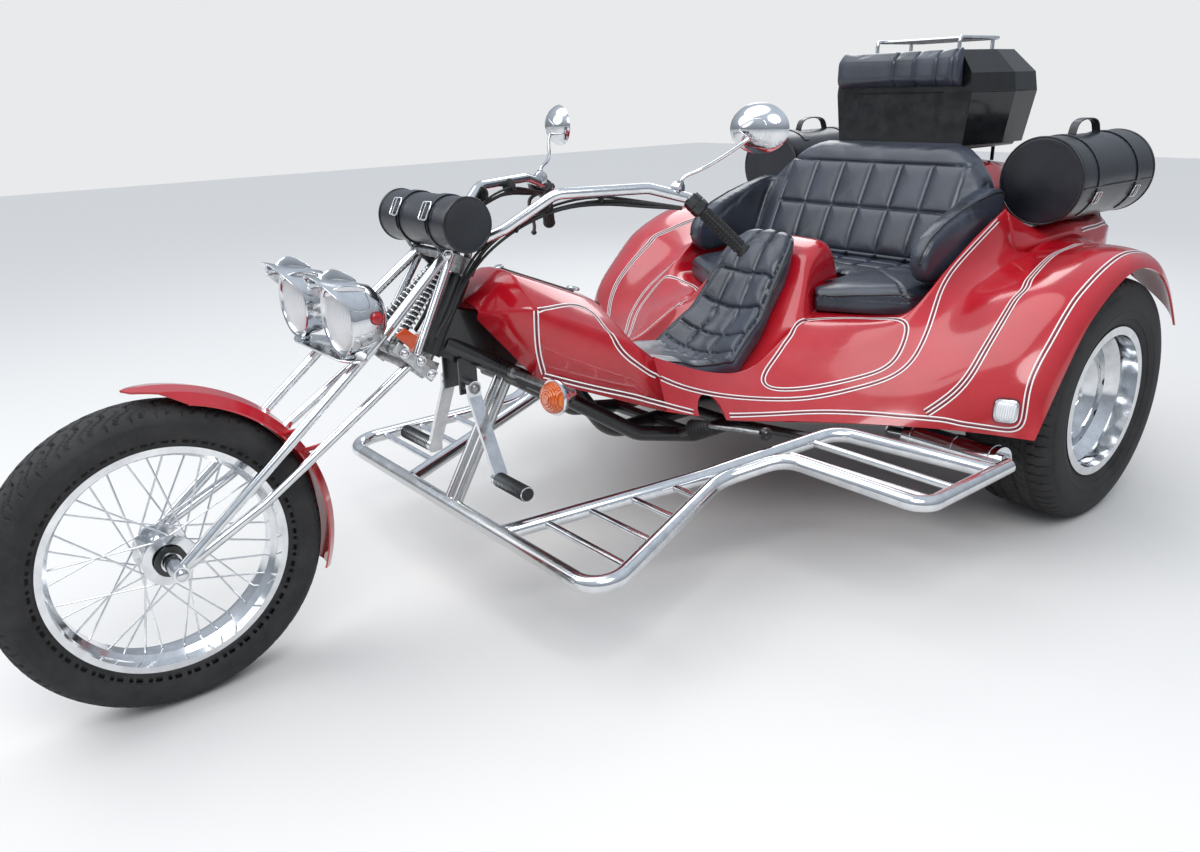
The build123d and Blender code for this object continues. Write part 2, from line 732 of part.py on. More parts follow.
def luggage():
    """Top box with its lid, pad and rack, the carrier under it, and the two side bags."""
    base_levels = [(BOX_BASE_Z, 0, 0.93), (BOX_SPLIT_Z, 0, 1.0)]
    base = box_part(base_levels)
    base -= box_space([(BOX_BASE_Z + BOX_WALL, 0, 0.932), (BOX_SPLIT_Z, 0, 1.0)])
    save("top_box_base", base)
    lid_bend = BOX_SPLIT_Z + 0.46 * BOX_LID_HEIGHT
    lid_levels = [(BOX_SPLIT_Z + SEAT_GAP, 0, 1.0), (lid_bend, 0, 0.975), (BOX_LID_Z, 0, 0.8)]
    lid = box_part(lid_levels)
    lid -= box_space([
        (BOX_SPLIT_Z + SEAT_GAP, 0, 1.0), (lid_bend, 0, 0.975), (BOX_LID_Z - BOX_WALL, 0, 0.81),
    ])
    save("top_box_lid", lid)
    front = BOX_FRONT_X + SEAT_GAP
    low = BOX_SPLIT_Z + 12
    top = BOX_LID_Z + 12
    profile = [
        (front, low), (front + 38, low + 6), (front + 50, low + 30), (front + 46, top - 34),
        (front + 20, top - 4), (front, top),
    ]
    pad = side_plate(profile, (-225, 225))
    save("lid_pad", pad)
    foot = BOX_LID_Z + SEAT_GAP
    rack = tube(
        [
            (-250, 150, foot), (-250, 150, RACK_Z), (-490, 150, RACK_Z), (-490, -150, RACK_Z),
            (-250, -150, RACK_Z), (-250, -150, foot),
        ],
        6, [12, 30, 30, 12],
    )
    for x in (-300, -350, -400, -450):
        rack += rod((x, -150, RACK_Z), (x, 150, RACK_Z), 4)
    for side in (1, -1):
        rack += rod((-440, side * 150, RACK_Z), (-440, side * 150, foot), 6)
    save("lid_rack", rack)
    height = BOX_BASE_Z - SEAT_GAP - 9
    carrier = tube(
        [(-200, 190, height), (-580, 190, height), (-580, -190, height), (-200, -190, height)], 9, [40, 40],
    )
    for x in (-215, -320, -420, -510):
        carrier += rod((x, -190, height), (x, 190, height), 7.5)
    for side in (1, -1):
        for x, roof in ((-320, 939.8), (-510, 917.2)):
            carrier += rod((x, side * 150, height), (x, side * 150, roof), 6)
    save("box_carrier", carrier)
    save("side_bags", pair(rod((BAG_FRONT_X, BAG_Y, BAG_Z), (BAG_REAR_X, BAG_Y, BAG_Z), BAG_R)))


def blade_front(side, grow=0.0):
    """The straight front tube of one girder blade, from the top yoke to the axle."""
    path = mirrored([BLADE_TOP, BLADE_SPREAD, (WHEELBASE, BLADE_AXLE_Y, FRONT_TYRE_R)], side)
    return tube(path, BLADE_TUBE_R + grow, [300])


def blade_rear(side, grow=0.0):
    """The rear tube of one girder blade, from the lower link to the axle."""
    path = mirrored([BLADE_LOW, BLADE_LOW_BEND, (WHEELBASE, BLADE_AXLE_Y, FRONT_TYRE_R)], side)
    return tube(path, BLADE_TUBE_R - 1 + grow, [200])


def across(x, z, radius, low, high):
    """A round bar along Y at a place in X and Z."""
    return rod((x, low, z), (x, high, z), radius)


def fork():
    """Steering stem with its yokes, girder blades on the axle, links and springs."""
    stem = rod(on_head(-YOKE_AT - YOKE_LENGTH / 2), on_head(YOKE_AT + YOKE_LENGTH / 2), STEM_R)
    for height in (-YOKE_AT, YOKE_AT):
        stem += rod(on_head(height - YOKE_LENGTH / 2), on_head(height + YOKE_LENGTH / 2), YOKE_R)
    cross_half = LINK_Y - LINK_THICK / 2 - SEAT_GAP
    stem += across(*LINK_REAR, 12, -cross_half, cross_half)
    top_x, top_y, top_z = BLADE_TOP
    top_half = top_y - 14 - SEAT_GAP
    stem += across(top_x, top_z, 11, -top_half, top_half)
    upper_arm = [(1474, 820), (1492, 788), (1542, 806), (1571, 838), (1560, 858)]
    lower_arm = [(1590, 590), (1612, 618), (1656, 616), (1660, 598), (1634, 574)]
    for side in (1, -1):
        low, high = sorted((side * (ARM_OUTER_Y - 8), side * ARM_OUTER_Y))
        stem += side_plate(upper_arm, (low, high)) + side_plate(lower_arm, (low, high))
        stem += rod((1483, side * 20, 812), (1478, side * 36, 862), 9)
    stem += across(SPRING_TOP[0], SPRING_TOP[2], 7, -38, 38)
    stem += block((1478, 1500), (-40, 40), (798, 814))
    stem += across(1478, 866, BAR_R + 7, -44, 44)
    stem -= across(1478, 866, BAR_R + SEAT_GAP, -100, 100)
    save("steering_stem", stem)

    sides = []
    for side in (1, -1):
        blade = blade_front(side) + blade_rear(side)
        blade += rod(*mirrored([(1547, 64, 846), BLADE_LOW], side), BLADE_TUBE_R - 2)
        low, high = sorted((side * (top_y - 14), side * (top_y + 12)))
        blade += across(top_x, top_z, 13, low, high)
        low, high = sorted((side * 86, side * (LINK_Y - LINK_THICK / 2 - SEAT_GAP)))
        blade += across(BLADE_LOW[0], BLADE_LOW[2], 12, low, high)
        low, high = sorted((side * (HUB_HALF + 20), side * (BLADE_AXLE_Y + 16)))
        blade += across(WHEELBASE, FRONT_TYRE_R, 17, low, high)
        sides.append(blade)
    save("fork_blades", sides[0] + sides[1] + across(WHEELBASE, FRONT_TYRE_R, AXLE_R, -100, 100))

    links = across(*LINK_FRONT, 9, -LINK_Y, LINK_Y)
    for side in (1, -1):
        low, high = sorted((side * (LINK_Y - LINK_THICK / 2), side * (LINK_Y + LINK_THICK / 2)))
        links += side_plate([(1632, 603), (1650, 585), (1736, 671), (1718, 689)], (low, high))
        low, high = sorted((side * LINK_Y, side * (LINK_Y + 12)))
        for x, z in (LINK_REAR, LINK_FRONT, BLADE_LOW[::2]):
            links += across(x, z, 8, low, high)
    save("fork_links", links)

    low = Vector(LINK_FRONT[0], SPRING_LOW_Y, LINK_FRONT[1])
    high = Vector(*SPRING_TOP)
    along = (high - low).normalized()
    start = low + along * 12
    end = high - along * 11
    spring = rod((start.X, start.Y, start.Z), (end.X, end.Y, end.Z), SPRING_R)
    spring += across(low.X, low.Z, 14, low.Y - 9, low.Y + 9)
    spring += across(high.X, high.Z, 12, high.Y - 10, high.Y + 10)
    spring -= across(low.X, low.Z, 9 + SEAT_GAP, 0, 200)
    spring -= across(high.X, high.Z, 7 + SEAT_GAP, 0, 200)
    save("fork_springs", pair(spring))


def handlebar():
    """The chrome bar with its grips, switch housings, brake lever and mirrors."""
    half = [
        (1478, 30, 866), (1478, 70, 866), (1430, 105, 890), (1325, 160, 962), (1125, 245, 963), GRIP_START,
        GRIP_END,
    ]
    full = [(px, -py, pz) for px, py, pz in half[::-1]] + half
    del full[len(half) - 1 : len(half) + 1]
    bends = [40, 60, 60, 40, 24, 24, 40, 60, 60, 40]
    save("handlebar", tube(full, BAR_R, bends))
    bar_space = tube(full, BAR_R + GRIP_FIT, bends)
    end = between(GRIP_START, GRIP_END, 1.03)
    controls = rod(between(GRIP_START, GRIP_END, 0.22), end, GRIP_R)
    controls += rod(GRIP_START, between(GRIP_START, GRIP_END, HOUSING_SHARE), HOUSING_R)
    # The brake lever stands off the right grip, on the side of its master cylinder
    start, stop = Vector(*GRIP_START), Vector(*GRIP_END)
    reach = Vector(0.887, 0.292, -0.357)
    lever = []
    for share, off in ((0.13, 12), (0.13, 52), (0.45, 56), (0.85, 46), (1.05, 52)):
        place = start + (stop - start) * share + reach * off
        lever.append((place.X, -place.Y, place.Z))
    brake = tube(lever, 5.5, [14, 40, 40])
    foot = start + (stop - start) * 0.08 + reach * 30
    head = foot + Vector(14, -6, 44)
    brake += rod((foot.X, -foot.Y, foot.Z), (head.X, -head.Y, head.Z), 17)
    save("grips", (controls + (other_side(controls) + brake)) - bar_space)
    elbow = (1003, 300, 1000)
    ball = (956, 372, 1052)
    stem = tube([(1058, 276, 955.5), (1050, 278, 985), elbow, ball, (915, 382, 1078)], 4.5, [8, 12, 20])
    bands = []
    for x, half_width, half_height in ((930, 34, 24), (922, 58, 42), (906, 73, 55), (896, 74, 56)):
        bands.append(Plane(
            origin=(x, 383, 1085), x_dir=(0, 1, 0), z_dir=(1, 0, 0),
        ) * Ellipse(half_width, half_height))
    stem += loft(bands, ruled=True)
    save("mirrors", pair(stem))


def cables():
    """The black cables from the grips, under the bar and down the front of the neck."""
    upper = on_head(100, 45)
    lower = on_head(-40, 45)
    run = [(1040, 284, 917), (1125, 222, 928), (1300, 140, 930), (1440, 84, 840)]
    run += [(upper[0], CABLE_Y, upper[2]), (lower[0], CABLE_Y, lower[2])]
    cable = tube(run, CABLE_R, [60, 60, 60, 40])
    cable -= rod(GRIP_START, between(GRIP_START, GRIP_END, HOUSING_SHARE), HOUSING_R + SEAT_GAP)
    save("bar_cables", pair(cable))


def front_end():
    """Head lamps on their bracket, tool roll, front fender and the front indicators."""
    bracket = [
        (1786, -105), (1786, 105), (1812, 152), (1840, 152), (1856, 110), (1856, -110), (1840, -152),
        (1812, -152),
    ]
    lamps = flat_plate(bracket, (671, 676))
    bucket = [
        (1750, 0), (1752, 26), (1760, 46), (1776, 62), (1806, 70), (1834, 72), (1834, 76), (1848, 76),
        (1850, 73), (1846, 68), (1836, 62), (1830, 0),
    ]
    # The visor's rows along X: reach to each side of the top in degrees, and radius
    visor_rows = [(1812, 74, 70), (1838, 76, 76), (1868, 52, 84), (1899, 14, 92)]
    fin = [(1806, 824), (1842, 864), (1852, 863), (1884, 848), (1880, 842), (1812, 820)]
    for side in (1, -1):
        lamps += lathe(bucket, side * LAMP_Y, LAMP_Z)
        sections = []
        for x, reach, radius in visor_rows:
            angles = [math.radians(reach * step / 3) for step in range(-3, 4)]
            outer = [
                (side * LAMP_Y + (radius + 3) * math.sin(a), LAMP_Z + (radius + 3) * math.cos(a))
                for a in angles
            ]
            inner = [(side * LAMP_Y + radius * math.sin(a), LAMP_Z + radius * math.cos(a)) for a in angles]
            sections.append((x, outer, inner))
        lamps += panel(sections)
        low, high = sorted((side * (LAMP_Y - 3), side * (LAMP_Y + 3)))
        lamps += side_plate(fin, (low, high))
        lamps += rod((1828, side * 114, 673), (1828, side * 114, 700), 9)
        low, high = sorted((side * 88, side * 116))
        lamps += block((1792, 1816), (low, high), (656, 674))
        lamps -= blade_front(side, SEAT_GAP)
    save("headlamps", lamps)
    save("tool_roll", across(1548, 916.4, 58, -150, 150))
    centre = (WHEELBASE, 0, FRONT_TYRE_R)
    low = FRONT_TYRE_R + 12
    outline = [(-62, low - 6), (-40, low + 12), (0, low + 18), (40, low + 12), (62, low - 6)]
    band = outline + [(py, pr - 4) for py, pr in outline[::-1]]
    fender = turned(band, centre)
    reach = [(0, 0), (39, 680), (-723, 680), (-723, -140), (-365, -140)]
    fender &= side_plate([(WHEELBASE + px, FRONT_TYRE_R + pz) for px, pz in reach], (-100, 100))
    tip = WHEELBASE + 20
    point = [
        (tip - 700, -100), (tip - 128, -100), (tip - 100, -60), (tip - 14, -20), (tip, 0), (tip - 14, 20),
        (tip - 100, 60), (tip - 128, 100), (tip - 700, 100),
    ]
    fender &= flat_plate(point, (0, FRONT_TYRE_R + 680))
    axle = (WHEELBASE, BLADE_AXLE_Y, FRONT_TYRE_R)
    # The stays: the angle where each leaves the fender, and the point where it meets the blade
    for degrees, meets in (
        (140.9, between(BLADE_SPREAD, axle, 0.414)), (151.1, between(BLADE_LOW, BLADE_LOW_BEND, 0.6)),
    ):
        angle = math.radians(degrees)
        leaves = (WHEELBASE + (low - 2) * math.cos(angle), 50, FRONT_TYRE_R + (low - 2) * math.sin(angle))
        for side in (1, -1):
            fender += rod(*mirrored([leaves, meets], side), 5)
    for side in (1, -1):
        fender -= blade_front(side, SEAT_GAP)
        fender -= blade_rear(side, SEAT_GAP)
    save("front_fender", fender)
    indicator = rod(
        (1450, 300, 550), (1478, 300, 551), 40,
    ) + cone((1400, 300, 548), (1450, 300, 550), 14, 38)
    indicator += rod((1418, 300, 549), (1418, 86, 553), 8)
    indicator -= tube(
        [(1552, 14, 636), (1340, 90, 505), (1080, 140, 330)], RAIL_R + SEAT_GAP, [90]
    )
    save("front_indicators", pair(indicator))


def rear_end():
    """Lamps on the fenders and the tail, and the plate carrier."""
    lamp = rod((466.7, 811.1, 408), (488.2, 819.9, 408.7), 30)
    save("side_lamps", pair(lamp))
    tail = rod((TAIL_X - SEAT_GAP, 400, 580), (TAIL_X - 25, 400, 580), 42)
    save("tail_lamps", pair(tail))
    carrier = block((TAIL_X - 6, TAIL_X), (-262, 262), (PLATE_Z - 58, PLATE_Z + 58))
    save("plate_carrier", carrier - plate_holes())


body()
wheels()
chassis()
drivetrain()
footboards()
seats()
luggage()
fork()
handlebar()
cables()
front_end()
rear_end()
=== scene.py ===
import json
import math

import bmesh
import bpy
import numpy as np
from mathutils import Matrix, Vector
from mathutils.bvhtree import BVHTree


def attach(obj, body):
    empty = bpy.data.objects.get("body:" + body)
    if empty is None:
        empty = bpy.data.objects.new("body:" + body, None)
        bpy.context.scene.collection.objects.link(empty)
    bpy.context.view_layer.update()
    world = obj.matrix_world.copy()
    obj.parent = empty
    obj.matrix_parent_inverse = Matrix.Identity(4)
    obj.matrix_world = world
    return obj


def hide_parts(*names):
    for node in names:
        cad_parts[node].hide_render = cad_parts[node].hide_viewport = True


# Camera first, then the finishes, the pieces that dress the trike, and last the light and floor.
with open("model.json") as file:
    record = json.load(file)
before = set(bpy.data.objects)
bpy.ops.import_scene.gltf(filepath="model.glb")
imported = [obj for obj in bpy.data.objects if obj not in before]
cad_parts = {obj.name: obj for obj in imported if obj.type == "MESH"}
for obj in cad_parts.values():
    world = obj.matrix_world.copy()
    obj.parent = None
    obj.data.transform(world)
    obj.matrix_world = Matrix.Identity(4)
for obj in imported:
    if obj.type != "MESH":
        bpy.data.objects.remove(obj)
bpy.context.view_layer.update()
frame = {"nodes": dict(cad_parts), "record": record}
nodes = frame["nodes"]

# The drawing counts from the rear axle; the model's origin is this far ahead of it, in metres.
AXLE_TO_ORIGIN = 0.9665


def at(x, y, z):
    """A place in the model from millimetres counted from the rear axle."""
    return Vector((x / 1000 - AXLE_TO_ORIGIN, y / 1000, z / 1000))


def from_model(spot):
    """The place in millimetres from the rear axle of a place in the model."""
    return ((spot.x + AXLE_TO_ORIGIN) * 1000, spot.y * 1000, spot.z * 1000)


# Camera: where the photographer stood, looking back and down along the left side
EYE = (2592, 1897.6, 1177.3)
YAW = -2.2396
PITCH = 0.342
ROLL = -0.0296
FOCAL_PIXELS = 943.75
IMAGE_WIDTH = 1200


def place_camera():
    ahead = Vector((math.cos(YAW) * math.cos(PITCH), math.sin(YAW) * math.cos(PITCH), -math.sin(PITCH)))
    level = ahead.cross(Vector((0, 0, 1))).normalized()
    above = level.cross(ahead)
    right = level * math.cos(ROLL) + above * math.sin(ROLL)
    up = above * math.cos(ROLL) - level * math.sin(ROLL)
    lens = bpy.data.cameras.new("camera")
    lens.sensor_width = 36
    lens.lens = 36 * FOCAL_PIXELS / IMAGE_WIDTH
    camera = bpy.data.objects.new("camera", lens)
    turn = Matrix((right, up, -ahead)).transposed().to_4x4()
    camera.matrix_world = Matrix.Translation(at(*EYE)) @ turn
    bpy.context.scene.collection.objects.link(camera)
    bpy.context.scene.camera = camera


place_camera()


# Materials
def linear(code):
    """A hex sRGB colour as linear RGBA."""
    values = [int(code[i : i + 2], 16) / 255 for i in (0, 2, 4)]
    return (*[v / 12.92 if v <= 0.04045 else ((v + 0.055) / 1.055) ** 2.4 for v in values], 1.0)


def node(tree, kind, settings=None, inputs=None):
    """Add a node, set its properties, and set or link its inputs."""
    made = tree.nodes.new(kind)
    for key, value in (settings or {}).items():
        setattr(made, key, value)
    for key, value in (inputs or {}).items():
        if isinstance(value, bpy.types.NodeSocket):
            tree.links.new(value, made.inputs[key])
        else:
            made.inputs[key].default_value = value
    return made


def finish(name, **inputs):
    """A new material with its shader, and the place on the piece for patterns."""
    material = bpy.data.materials.new(name)
    material.use_nodes = True
    tree = material.node_tree
    shader = tree.nodes["Principled BSDF"]
    for key, value in inputs.items():
        shader.inputs[key.replace("_", " ")].default_value = value
    place = node(tree, "ShaderNodeTexCoord").outputs["Object"]
    return material, tree, shader, place


def spread(tree, value, low=0.0, high=1.0, least=0.0, most=1.0):
    """Map a pattern's values from one range onto another."""
    inputs = {"Value": value, "From Min": low, "From Max": high, "To Min": least, "To Max": most}
    return node(tree, "ShaderNodeMapRange", {}, inputs).outputs["Result"]


def mixed(tree, share, dark, light):
    """Mix two colours by a share."""
    inputs = {"Factor": share, "A": dark, "B": light}
    return node(tree, "ShaderNodeMix", {"data_type": "RGBA"}, inputs).outputs["Result"]


def ramp(tree, value, low, high, dark, light):
    """Map a pattern's values between two colours."""
    return mixed(tree, spread(tree, value, low, high), linear(dark), linear(light))


def noise(tree, place, size, detail, roughness=0.5):
    """A noise pattern whose patches have this size in millimetres."""
    inputs = {"Vector": place, "Scale": 1000.0 / size, "Detail": detail, "Roughness": roughness}
    return node(tree, "ShaderNodeTexNoise", {}, inputs).outputs["Fac"]


def bump(tree, height, strength, distance, **under):
    """A pattern as relief of this height in metres, over the relief under it."""
    inputs = {"Strength": strength, "Distance": distance, "Height": height, **under}
    return node(tree, "ShaderNodeBump", {}, inputs).outputs["Normal"]


def join(tree, shader, **links):
    """Link outputs to the shader's inputs."""
    for key, output in links.items():
        tree.links.new(output, shader.inputs[key.replace("_", " ")])


def weathered(name, pattern, tones, gloss, **inputs):
    """A finish whose colour and roughness follow one noise pattern.

    The pattern gives its patches' size, detail and roughness. The tones are two limits of the pattern and
    their colours, the gloss two limits and their roughnesses.
    """
    material, tree, shader, place = finish(name, **inputs)
    spots = noise(tree, place, *pattern)
    join(tree, shader, Base_Color=ramp(tree, spots, *tones), Roughness=spread(tree, spots, *gloss))
    return material, tree, shader, place, spots


def gelcoat_red():
    """Red gel coat over glass fibre: deep gloss, a slight ripple, and a film of road dust low down."""
    material, tree, shader, place = finish("gelcoat_red", Coat_Weight=0.6, Coat_Roughness=0.05, IOR=1.5)
    ripple = noise(tree, place, 90, 2.0)
    dust = noise(tree, place, 160, 8.0, 0.65)
    colour = ramp(tree, dust, 0.35, 0.7, "A80A1A", "BA1526")
    height = node(tree, "ShaderNodeSeparateXYZ", {}, {"Vector": place}).outputs["Z"]
    low = spread(tree, height, 0.62, 0.32, 0.0, 0.22)
    film = node(tree, "ShaderNodeMath", {"operation": "MULTIPLY"}, {0: low, 1: dust})
    dusty = mixed(tree, film.outputs[0], colour, linear("8C6A5E"))
    rough = spread(tree, dust, 0.3, 0.75, 0.12, 0.26)
    join(tree, shader, Base_Color=dusty, Roughness=rough, Normal=bump(tree, ripple, 0.12, 0.002))
    return material


def chrome_plate(name="chrome_plate", colour="E6E8EA", rough=0.07):
    """Chrome plating on steel: a mirror with faint smears and pin spots of dirt."""
    gloss = (0.35, 0.8, rough, rough + 0.16)
    return weathered(name, (35, 6.0, 0.6), (0.3, 0.75, colour, "C9CBCE"), gloss, Metallic=1.0)[0]


def tyre_rubber():
    """Road rubber: matt black, greyed by dust."""
    material, tree, shader, place, _ = weathered(
        "tyre_rubber", (70, 9.0, 0.7), (0.35, 0.75, "1B1B1D", "3A3938"), (0.3, 0.7, 0.58, 0.82),
        Specular_IOR_Level=0.35,
    )
    join(tree, shader, Normal=bump(tree, noise(tree, place, 2.5, 3.0), 0.25, 0.0006))
    return material


def seat_leather(name="seat_leather", colour="272C36", worn="3A414E", rough=0.25):
    """Black upholstery leather: fine pebble grain, polished where it is sat on."""
    # the default colour and worn tone are tinted blue: a painted reflection of the sky on the leather; the
    # lighter patches are wear
    material, tree, shader, place, _ = weathered(
        name, (120, 5.0), (0.35, 0.75, colour, worn), (0.3, 0.7, rough, rough + 0.14),
        Coat_Weight=0.25, Coat_Roughness=0.22, IOR=1.5,
    )
    # the real pebbles are about 1 mm; drawn at 2.4 mm so that they show
    pebble = node(tree, "ShaderNodeTexVoronoi", {}, {"Vector": place, "Scale": 1000 / 2.4})
    fine = bump(tree, pebble.outputs["Distance"], 0.22, 0.0006)
    join(tree, shader, Normal=bump(tree, noise(tree, place, 18, 4.0), 0.25, 0.0015, Normal=fine))
    return material


def gloss_black(name="gloss_black_shell", colour="0B0B0C", rough=0.12):
    """Moulded shell in gloss black, with fine scuffs."""
    gloss = (0.35, 0.75, rough, rough + 0.2)
    coat = {"Coat_Weight": 0.4, "Coat_Roughness": 0.08}
    return weathered(name, (50, 8.0, 0.7), (0.4, 0.8, colour, "1E1F21"), gloss, **coat)[0]


def painted(name, colour):
    """A line of paint or thread, dulled in patches."""
    material, tree, shader, place = finish(name, Roughness=0.3)
    dull = spread(tree, noise(tree, place, 30, 4.0), 0.3, 0.7, 0.88, 1.0)
    shades = node(tree, "ShaderNodeHueSaturation", {}, {"Color": linear(colour), "Value": dull})
    join(tree, shader, Base_Color=shades.outputs["Color"])
    return material


def cast_metal(name, colour, dirt, rough):
    """Cast or rolled metal, dull with oil and dust in its grain."""
    tones = (0.4, 0.7, colour, dirt)
    gloss = (0.3, 0.7, rough, rough + 0.2)
    material, tree, shader, _, grain = weathered(name, (12, 7.0, 0.7), tones, gloss, Metallic=0.9)
    join(tree, shader, Normal=bump(tree, grain, 0.2, 0.0006))
    return material


def moulded_rubber():
    """Black moulded rubber for grips, pedals and boots."""
    return weathered("moulded_rubber", (8, 5.0), (0.4, 0.75, "161617", "2C2C2C"), (0.0, 1.0, 0.5, 0.7))[0]


def lamp_lens(name, colour, deep, rough=0.08):
    """Moulded lamp lens, ribbed on the inside."""
    glass = {"Roughness": rough, "Coat_Weight": 0.5, "Transmission_Weight": 0.25, "IOR": 1.49}
    material, tree, shader, place = finish(name, **glass)
    ribs = node(
        tree, "ShaderNodeTexWave", {"bands_direction": "Y"}, {"Vector": place, "Scale": 1000 / 16},
    ).outputs["Fac"]
    join(
        tree, shader, Base_Color=ramp(tree, ribs, 0.1, 0.9, deep, colour),
        Normal=bump(tree, ribs, 0.5, 0.001),
    )
    return material


RED = gelcoat_red()
CHROME = chrome_plate()
WORN_CHROME = chrome_plate("worn_chrome_plate", "C9C8C4", 0.16)
TYRE = tyre_rubber()
LEATHER = seat_leather()
BAG_LEATHER = seat_leather("bag_leather", "10131A", "1E232C", 0.27)
BOX_BLACK = gloss_black()
FRAME_BLACK = gloss_black("frame_enamel", "121314", 0.25)
ALLOY = cast_metal("cast_alloy", "8E9092", "5C5B58", 0.35)
STEEL = cast_metal("plain_steel", "A6A7A8", "6E6C69", 0.25)
IRON = cast_metal("cast_iron", "3A3836", "24211E", 0.5)
RUBBER = moulded_rubber()
ORANGE_LENS = lamp_lens("orange_lens", "F07A1C", "C9480A")
RED_LENS = lamp_lens("red_lens", "C41820", "7A0A10")
CLEAR_LENS = lamp_lens("clear_lens", "E9ECEE", "B9BEC2")
PIPING = seat_leather("piping_leather", "0E0E10", "1C1C1F", 0.26)
STRIPE_WHITE = painted("white_stripe", "F2EEEC")
STRIPE_GREY = painted("grey_stripe", "5C2A34")
LIGHT_ALLOY = cast_metal("light_alloy", "C4C6C8", "9A9B9C", 0.3)
LAMP_GLASS = lamp_lens("lamp_glass", "FFFFFF", "DDE1E4", 0.05)
MIRROR = chrome_plate("mirror_glass", "F4F6F8", 0.02)
THREAD = painted("seat_thread", "565B64")

# The material slots: the finish of its nodes first, then the others that its pieces may have
SLOT_FINISHES = {
    "body_red": (RED, STRIPE_WHITE, STRIPE_GREY),
    "tyre": (TYRE,),
    "chrome": (CHROME, WORN_CHROME, MIRROR),
    "iron": (IRON,),
    "frame_black": (FRAME_BLACK,),
    "alloy": (ALLOY, LIGHT_ALLOY),
    "steel": (STEEL,),
    "rubber": (RUBBER,),
    "leather_black": (LEATHER, BAG_LEATHER, PIPING, THREAD),
    "gloss_black": (BOX_BLACK,),
    "lamp_orange": (ORANGE_LENS,),
    "lamp_clear": (CLEAR_LENS, LAMP_GLASS),
    "lamp_red": (RED_LENS,),
}
NODE_FINISH = {"front_crossbar": WORN_CHROME, "tool_roll": BAG_LEATHER, "side_bags": BAG_LEATHER}
node_slot = {part["node"]: part["material_slot"] for part in frame["record"]["subparts"]}
for name, obj in nodes.items():
    obj.data.materials.clear()
    obj.data.materials.append(NODE_FINISH.get(name, SLOT_FINISHES[node_slot[name]][0]))


# Pieces: how each is made, and how it rides
# The sides as the sign of y, each with its name
TAG = {1: "left", -1: "right"}


def shaded(mesh, degrees):
    """Smooth shading, with edges sharper than the angle kept crisp."""
    mesh.polygons.foreach_set("use_smooth", [True] * len(mesh.polygons))
    mesh.set_sharp_from_angle(angle=math.radians(degrees))


def riding(obj, body):
    """Put the piece in the scene, riding on its body."""
    bpy.context.scene.collection.objects.link(obj)
    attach(obj, body)
    return obj


def settle(name, mesh, look, body, degrees=35):
    """The finished mesh as a piece of the trike, in its finish, riding on its body."""
    shaded(mesh, degrees)
    mesh.materials.clear()
    mesh.materials.append(look)
    return riding(bpy.data.objects.new(name, mesh), body)


def form_mesh(name, shape, outward=True):
    """The mesh of a form in the making, with its faces turned outwards."""
    if outward:
        bmesh.ops.recalc_face_normals(shape, faces=shape.faces)
    mesh = bpy.data.meshes.new(name)
    shape.to_mesh(mesh)
    shape.free()
    return mesh


def made(name, shape, look, body, degrees=35, outward=True):
    """A piece from its form in the making."""
    return settle(name, form_mesh(name, shape, outward), look, body, degrees)


def across_rows(shape, rows, closed=False):
    """Bridge one row of places after another. Returns the rows' corners."""
    corners = []
    edges = []
    for row in rows:
        corners.append([shape.verts.new(at(*place)) for place in row])
        ends = corners[-1][1:] + (corners[-1][:1] if closed else [])
        edges.append([shape.edges.new(pair) for pair in zip(corners[-1], ends)])
    for near, far in zip(edges, edges[1:]):
        bmesh.ops.bridge_loops(shape, edges=near + far)
    return corners


def solid(rows, shape=None):
    """Closed rows bridged into a solid, with a face over each end; added to a form if one is given."""
    if shape is None:
        shape = bmesh.new()
    corners = across_rows(shape, rows, closed=True)
    for row in (corners[0], corners[-1]):
        shape.faces.new(row)
    return shape


def new_line(name, radius, resolution):
    """An empty round line with closed ends, its radius in millimetres."""
    line = bpy.data.curves.new(name, "CURVE")
    line.dimensions = "3D"
    line.bevel_depth = radius / 1000
    line.bevel_resolution = resolution
    line.use_fill_caps = True
    return line


def strand(name, points, radius, look, body, closed=False, straight=False):
    """A round strand, such as piping or wire, through the places."""
    line = new_line(name, radius, 2)
    line.resolution_u = 4
    spline = line.splines.new("POLY" if straight else "NURBS")
    spline.points.add(len(points) - 1)
    for point, place in zip(spline.points, points):
        point.co = (*at(*place), 1)
    if not straight:
        spline.order_u = 3
    spline.use_cyclic_u = closed
    if not closed:
        spline.use_endpoint_u = True
    line.materials.append(look)
    return riding(bpy.data.objects.new(name, line), body)


def sides(points):
    """The places on the left and their twins on the right."""
    return [points, [(x, -y, z) for x, y, z in points]]


def on_side(side, place):
    """A place or direction of the left side as it is on this one."""
    return Vector((place[0], side * place[1], place[2]))


def named_sides(points):
    """Both sides' places, each with its side's name."""
    return zip(TAG.values(), sides(points))


def between(start, end, share):
    """The place at a share of the way."""
    return tuple(a + (b - a) * share for a, b in zip(start, end))


def placed(x, half):
    """The row at a station, from the left edge over the middle to the right edge."""
    return [(x, y, z) for y, z in half + [(-y, z) for y, z in half[-2::-1]]]


def show_as(obj, *names):
    """The piece stands for the nodes."""
    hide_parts(*names)
    return obj


def both_sides(make, replaced):
    """The left piece, which stands for the node, and its twin on the right."""
    show_as(make(1), replaced)
    make(-1)


